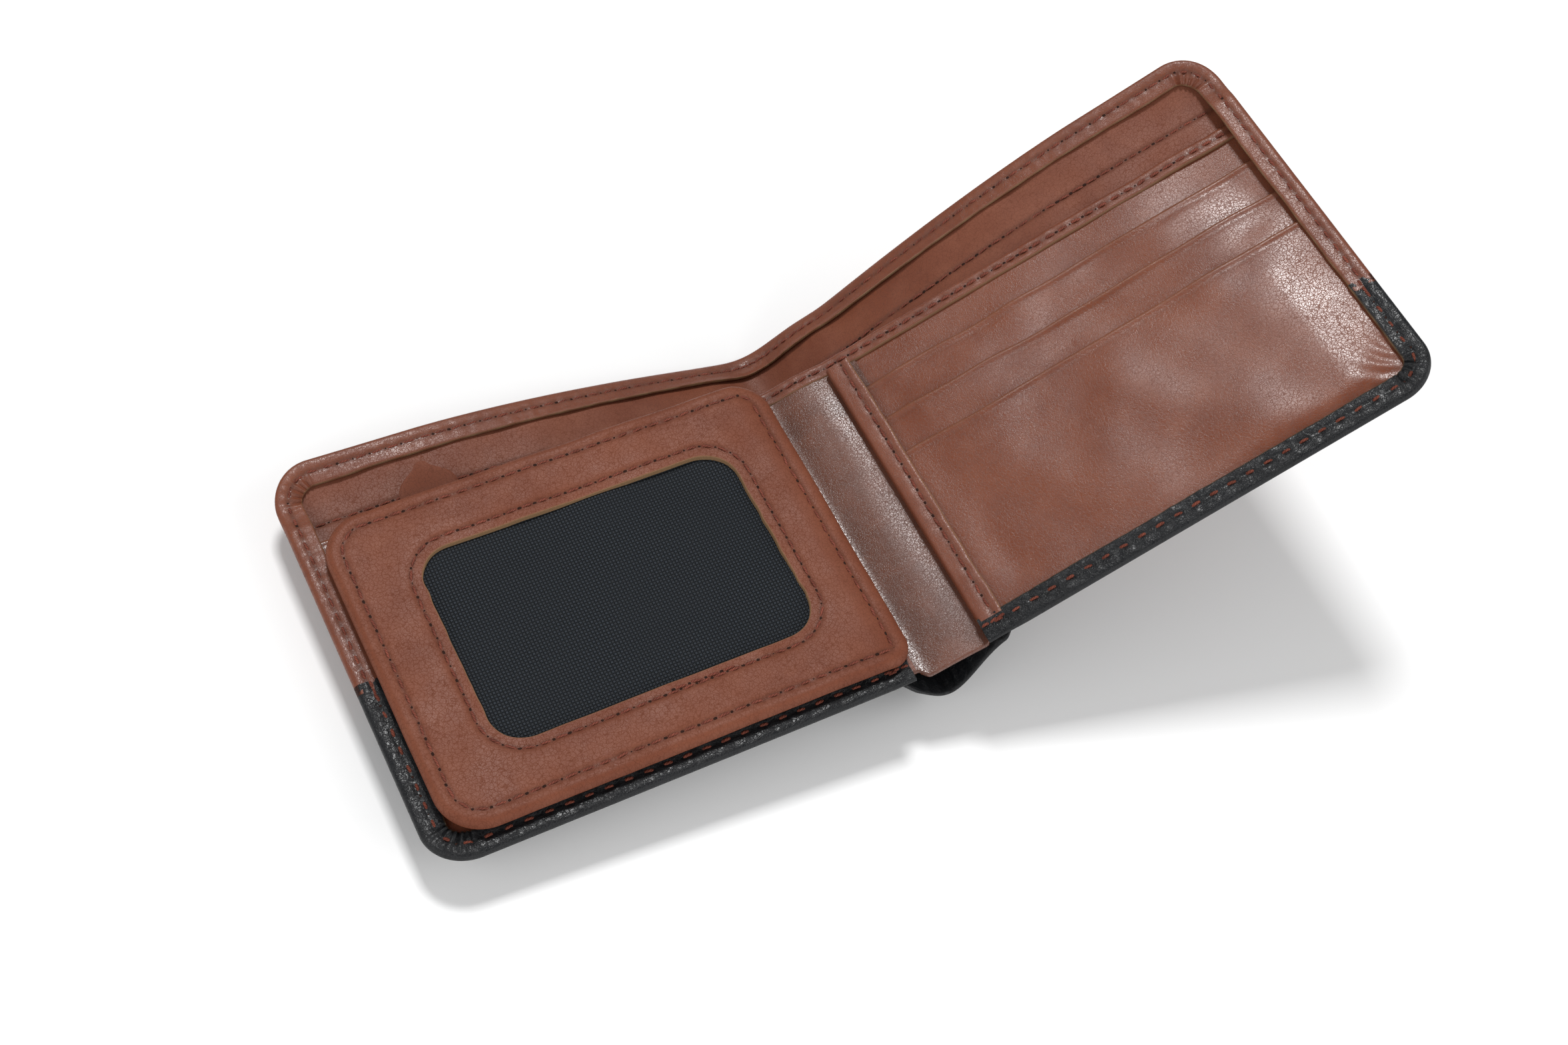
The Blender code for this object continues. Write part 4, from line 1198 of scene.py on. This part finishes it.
def flap_level(u, y):
    """Sway of the flap's top, which is thinner round the window and at the spine."""
    into_window = box_distance(u, y, WINDOW, WINDOW_RADII)
    level = -0.45 * smooth(into_window, -4.5, 0.0) - 1.0 * smooth(-u, -9.0, -1.7)
    return level + 0.16 * waves(u, y, 24.0, 221) + 0.05 * waves(u, y, 7.0, 222)


def shell(name, u, y, high, low, material, slot, **marks):
    """A closed band between two heights over rings of places."""
    rows = np.concatenate([LEFT.place(u, y, high), LEFT.place(u, y, low)[:, ::-1]], 1)
    flat = np.concatenate([flat_of(u, y), flat_of(u, y, 1.0)[:, ::-1]], 1)
    return tube(name, rows, flat, material, slot, closed=True, sharp=55.0, **marks)


def make_flap():
    cuts = np.concatenate([
        [0.0, 0.004, 0.015, 0.035, 0.06, 0.09], np.linspace(0.12, 0.94, 34), [0.96, 0.975, 0.987, 0.994, 1.0]
    ])
    rings = np.stack([flap_ring(t) for t in cuts], 1)
    u, y = rings[..., 0], rings[..., 1]
    d_out = np.maximum(box_distance(u, y, FLAP, FLAP_RADII), 0.0)
    d_win = np.maximum(-box_distance(u, y, WINDOW, WINDOW_RADII), 0.0)
    sewn = smooth(u, 1.0, 7.0)
    run = np.cumsum(np.linalg.norm(np.diff(rings[:, 0], axis=0, prepend=rings[-1:, 0]), axis=1))[:, None]
    puck = 0.75 + 0.25 * np.cos(2 * math.pi * run / FLAP_SEAM[0])
    z = FLAP_TOP + flap_level(u, y) - eased(d_out, 1.5) - eased(d_win, 0.22)
    z = z - 0.26 * bump(d_out, EDGE_ROW, 0.7) * sewn * puck + 0.06 * bump(d_out, 1.7, 1.1)
    z = z - 0.20 * bump(d_win, WINDOW_ROW, 0.5) * puck
    u = u + 0.09 * waves(run, 0 * run, 9.0, 223) * bump(d_win, 0.0, 0.6)
    under = FLAP_BACK + 1.5
    low = under + (FLAP_TOP - 1.45 - under) * np.exp(-d_out / 0.5)
    low = np.where(d_win < 7.0, np.maximum(low, z - 1.0), low)
    low = np.minimum(low, z - 0.15)
    raw = np.concatenate([0.85 * bump(d_win, 0.0, 0.16), bump(d_win, 0.0, 0.4)[:, ::-1]], 1)
    # Seam marks along both stitch rows' dips: painted shade and dirt in the material.
    seam = 0.9 * bump(d_out, EDGE_ROW, 0.5) * sewn + 0.9 * bump(d_win, WINDOW_ROW, 0.45)
    seam = np.concatenate([seam, 0 * seam], 1)
    piece = shell("flap_frame_leather", u, y, z, low, FLAP_LEATHER, "brown_leather", raw=raw, seam=seam)
    fasten(piece, "id_flap", "flap_frame")
    sew_flap()
    make_window_weave()
    make_flap_back()


def grown(box, by):
    return (box[0] - by, box[1] - by, box[2] + by, box[3] + by)


def sew_flap():
    def surface(u, y, h):
        out = box_distance(u, y, FLAP, FLAP_RADII)
        win = -box_distance(u, y, WINDOW, WINDOW_RADII)
        dip = 0.20 * bump(out, EDGE_ROW, 0.7) + 0.14 * bump(win, WINDOW_ROW, 0.5)
        return LEFT.place(u, y, FLAP_TOP + flap_level(u, y) - dip + 0.02 + h)

    line = outline(grown(FLAP, -EDGE_ROW), tuple(radius - EDGE_ROW for radius in FLAP_RADII), (260, 180))
    open_row = line[line[:, 0] > FLAP[0] + EDGE_ROW + 0.4]
    open_row = open_row[np.argsort(-np.arctan2(open_row[:, 1] - 38.0, -(open_row[:, 0] - 46.0)))]
    thread = sew("flap_edge_stitches", surface, open_row, FLAP_SEAM, 0.52, DARK_THREAD, 231)
    fasten(thread, "id_flap", "flap_edge_thread")

    around = grown(WINDOW, WINDOW_ROW)
    line = outline(around, tuple(radius + WINDOW_ROW for radius in WINDOW_RADII), (200, 140))
    doubled = np.array([[u, around[1] + 0.55] for u in (36.0, 39.3, 42.6, 45.9)])
    thread = sew(
        "flap_window_stitches", surface, line, WINDOW_SEAM, 0.50, DARK_THREAD, 235, closed=True, extra=doubled
    )
    fasten(thread, "id_flap", "flap_window_thread")


WEAVE_LAP = 3.0
WEAVE_STEP = 0.22


def make_window_weave():
    low_u, low_y, high_u, high_y = grown(WINDOW, WEAVE_LAP)
    places = np.arange(low_u, high_u, WEAVE_STEP), np.arange(low_y, high_y, WEAVE_STEP)
    u, y = np.meshgrid(*places, indexing="ij")
    over = np.sin(math.pi * u / WEAVE_PITCH) * np.sin(math.pi * y / WEAVE_PITCH)
    height = np.where(over > 0, over, -0.4 * over)
    base = FLAP_TOP - 1.75
    sag = 0.12 * waves(u, y, 20.0, 241) + 0.10 * waves(0.5 * u, y, 9.0, 242)
    top = LEFT.place(u, y, base + 0.16 * height + sag)
    bottom = LEFT.place(u, y, base - 0.25 + sag)
    piece = slab("window_weave_fabric", top, bottom, flat_of(u, y), WEAVE, "mesh_fabric", sharp=120.0)
    fasten(piece, "id_flap", "flap_window_mesh")


def make_flap_back():
    rings = np.stack([flap_ring(t) for t in (0.06, 0.075, 0.1, 0.2, 0.35, 0.5, 0.65, 0.8, 1.0)], 1)
    centre = np.array([(WINDOW[0] + WINDOW[2]) / 2, (WINDOW[1] + WINDOW[3]) / 2])
    shrink = np.linspace(0.85, 0.0, 12)
    inner = centre + (rings[:, -1] - centre)[:, None, :] * shrink[None, :, None]
    u, y = np.moveaxis(np.concatenate([rings, inner], 1), -1, 0)
    d = np.maximum(box_distance(u, y, FLAP, FLAP_RADII) - 0.8, 0.0)
    sway = 0.10 * waves(u, y, 20.0, 251)
    low = FLAP_BACK + eased(d, 0.3) + sway
    high = FLAP_BACK + 0.65 - eased(d, 0.25) + sway
    piece = shell("flap_back_leather", u, y, high, low, FACING_LEATHER, "lining_leather")
    builder = bmesh.new()
    builder.from_mesh(piece.data)
    bmesh.ops.remove_doubles(builder, verts=builder.verts, dist=1e-6)
    bmesh.ops.recalc_face_normals(builder, faces=builder.faces)
    builder.to_mesh(piece.data)
    builder.free()
    fasten(piece, "id_flap", "flap_back")


# ---- stage, lights and camera


FLOOR_REACH = 4.0
FLOOR_GAP = 0.0002


def make_floor():
    builder = bmesh.new()
    grid = bmesh.ops.create_grid(builder, x_segments=24, y_segments=24, size=FLOOR_REACH)
    for vertex in grid["verts"]:
        vertex.co.z = CAD_BOX[0].z - FLOOR_GAP
    mesh = bpy.data.meshes.new("floor")
    builder.to_mesh(mesh)
    builder.free()
    mesh.polygons.foreach_set("use_smooth", [True] * len(mesh.polygons))
    n = Nodes("pale_floor")
    place = n.add("ShaderNodeTexCoord").outputs["Object"]
    base = n.mix(n.noise(place, 3.0, 2.0), rgb(0.86, 0.86, 0.86), rgb(0.90, 0.90, 0.90))
    mesh.materials.append(n.done(Base_Color=base, Roughness=0.75))
    floor = bpy.data.objects.new("floor", mesh)
    bpy.context.scene.collection.objects.link(floor)


LIGHT_DISTANCE = 1.2


def area_light(name, toward, size, power):
    """A soft rectangular light in a direction from the wallet, aimed at it."""
    data = bpy.data.lights.new(name, "AREA")
    data.shape = "RECTANGLE"
    data.size, data.size_y = size
    data.energy = power
    light = bpy.data.objects.new(name, data)
    direction = Vector(toward).normalized()
    light.location = direction * LIGHT_DISTANCE + Vector((0.0, 0.0, 0.02))
    light.rotation_mode = "QUATERNION"
    light.rotation_quaternion = (-direction).to_track_quat("-Z", "Y")
    bpy.context.scene.collection.objects.link(light)


def to_world(direction):
    """A direction in the right half's frame turned to the world's."""
    across, up = RIGHT.across, RIGHT.up
    return direction[0] * across + direction[1] * ALONG_Y + direction[2] * up


def make_lights():
    world = bpy.data.worlds.new("soft_surround")
    world.use_nodes = True
    background = world.node_tree.nodes["Background"]
    background.inputs["Color"].default_value = rgb(1.0, 1.0, 1.0)
    background.inputs["Strength"].default_value = 0.22
    bpy.context.scene.world = world
    bpy.context.scene.view_settings.view_transform = "Standard"
    area_light("softbox_behind", to_world((0.46, 0.40, 0.80)), (0.26, 0.22), 10.0)
    area_light("fill_left", (-0.95, -0.25, 0.62), (1.2, 1.0), 6.2)
    area_light("fill_right", (0.85, -0.75, 0.66), (1.2, 1.0), 7.0)
    area_light("fill_front", (-0.25, -1.0, 0.35), (1.2, 0.6), 3.6)


# Camera in the right half's frame: place in millimetres, then its right, up and backward axes as columns
CAMERA_AT = np.array([-0.63, -144.06, 390.49])
CAMERA_TURN = np.array([
    [0.86166, 0.50673, 0.02778],
    [-0.44580, 0.78194, -0.43569],
    [-0.24250, 0.36303, 0.89967],
])


def make_camera():
    origin = RIGHT.hinge + MM * (HINGE_DEPTH * RIGHT.up - FOLD_TO_RIGHT_HINGE * RIGHT.across)
    frame_axes = np.stack([RIGHT.across, ALONG_Y, RIGHT.up], 1)
    place = origin + MM * frame_axes @ CAMERA_AT
    turned = frame_axes @ CAMERA_TURN
    data = bpy.data.cameras.new("camera")
    data.lens = 50.0
    data.sensor_width = 36.0
    data.clip_start = 0.01
    camera = bpy.data.objects.new("camera", data)
    matrix = Matrix(turned.tolist()).to_4x4()
    matrix.translation = Vector(place)
    camera.matrix_world = matrix
    bpy.context.scene.collection.objects.link(camera)
    bpy.context.scene.camera = camera


# ---- assembly

for half in (LEFT, RIGHT):
    make_cover(half)
    make_linings(half)
    make_hems(half)
    make_loop_turn_in(half)
    make_divider(half)
    make_spine_strip(half)
    make_band(half)
make_card_slots()
make_binding_strip()
make_left_panel()
make_flap()
make_floor()
make_lights()
make_camera()

bpy.context.view_layer.update()
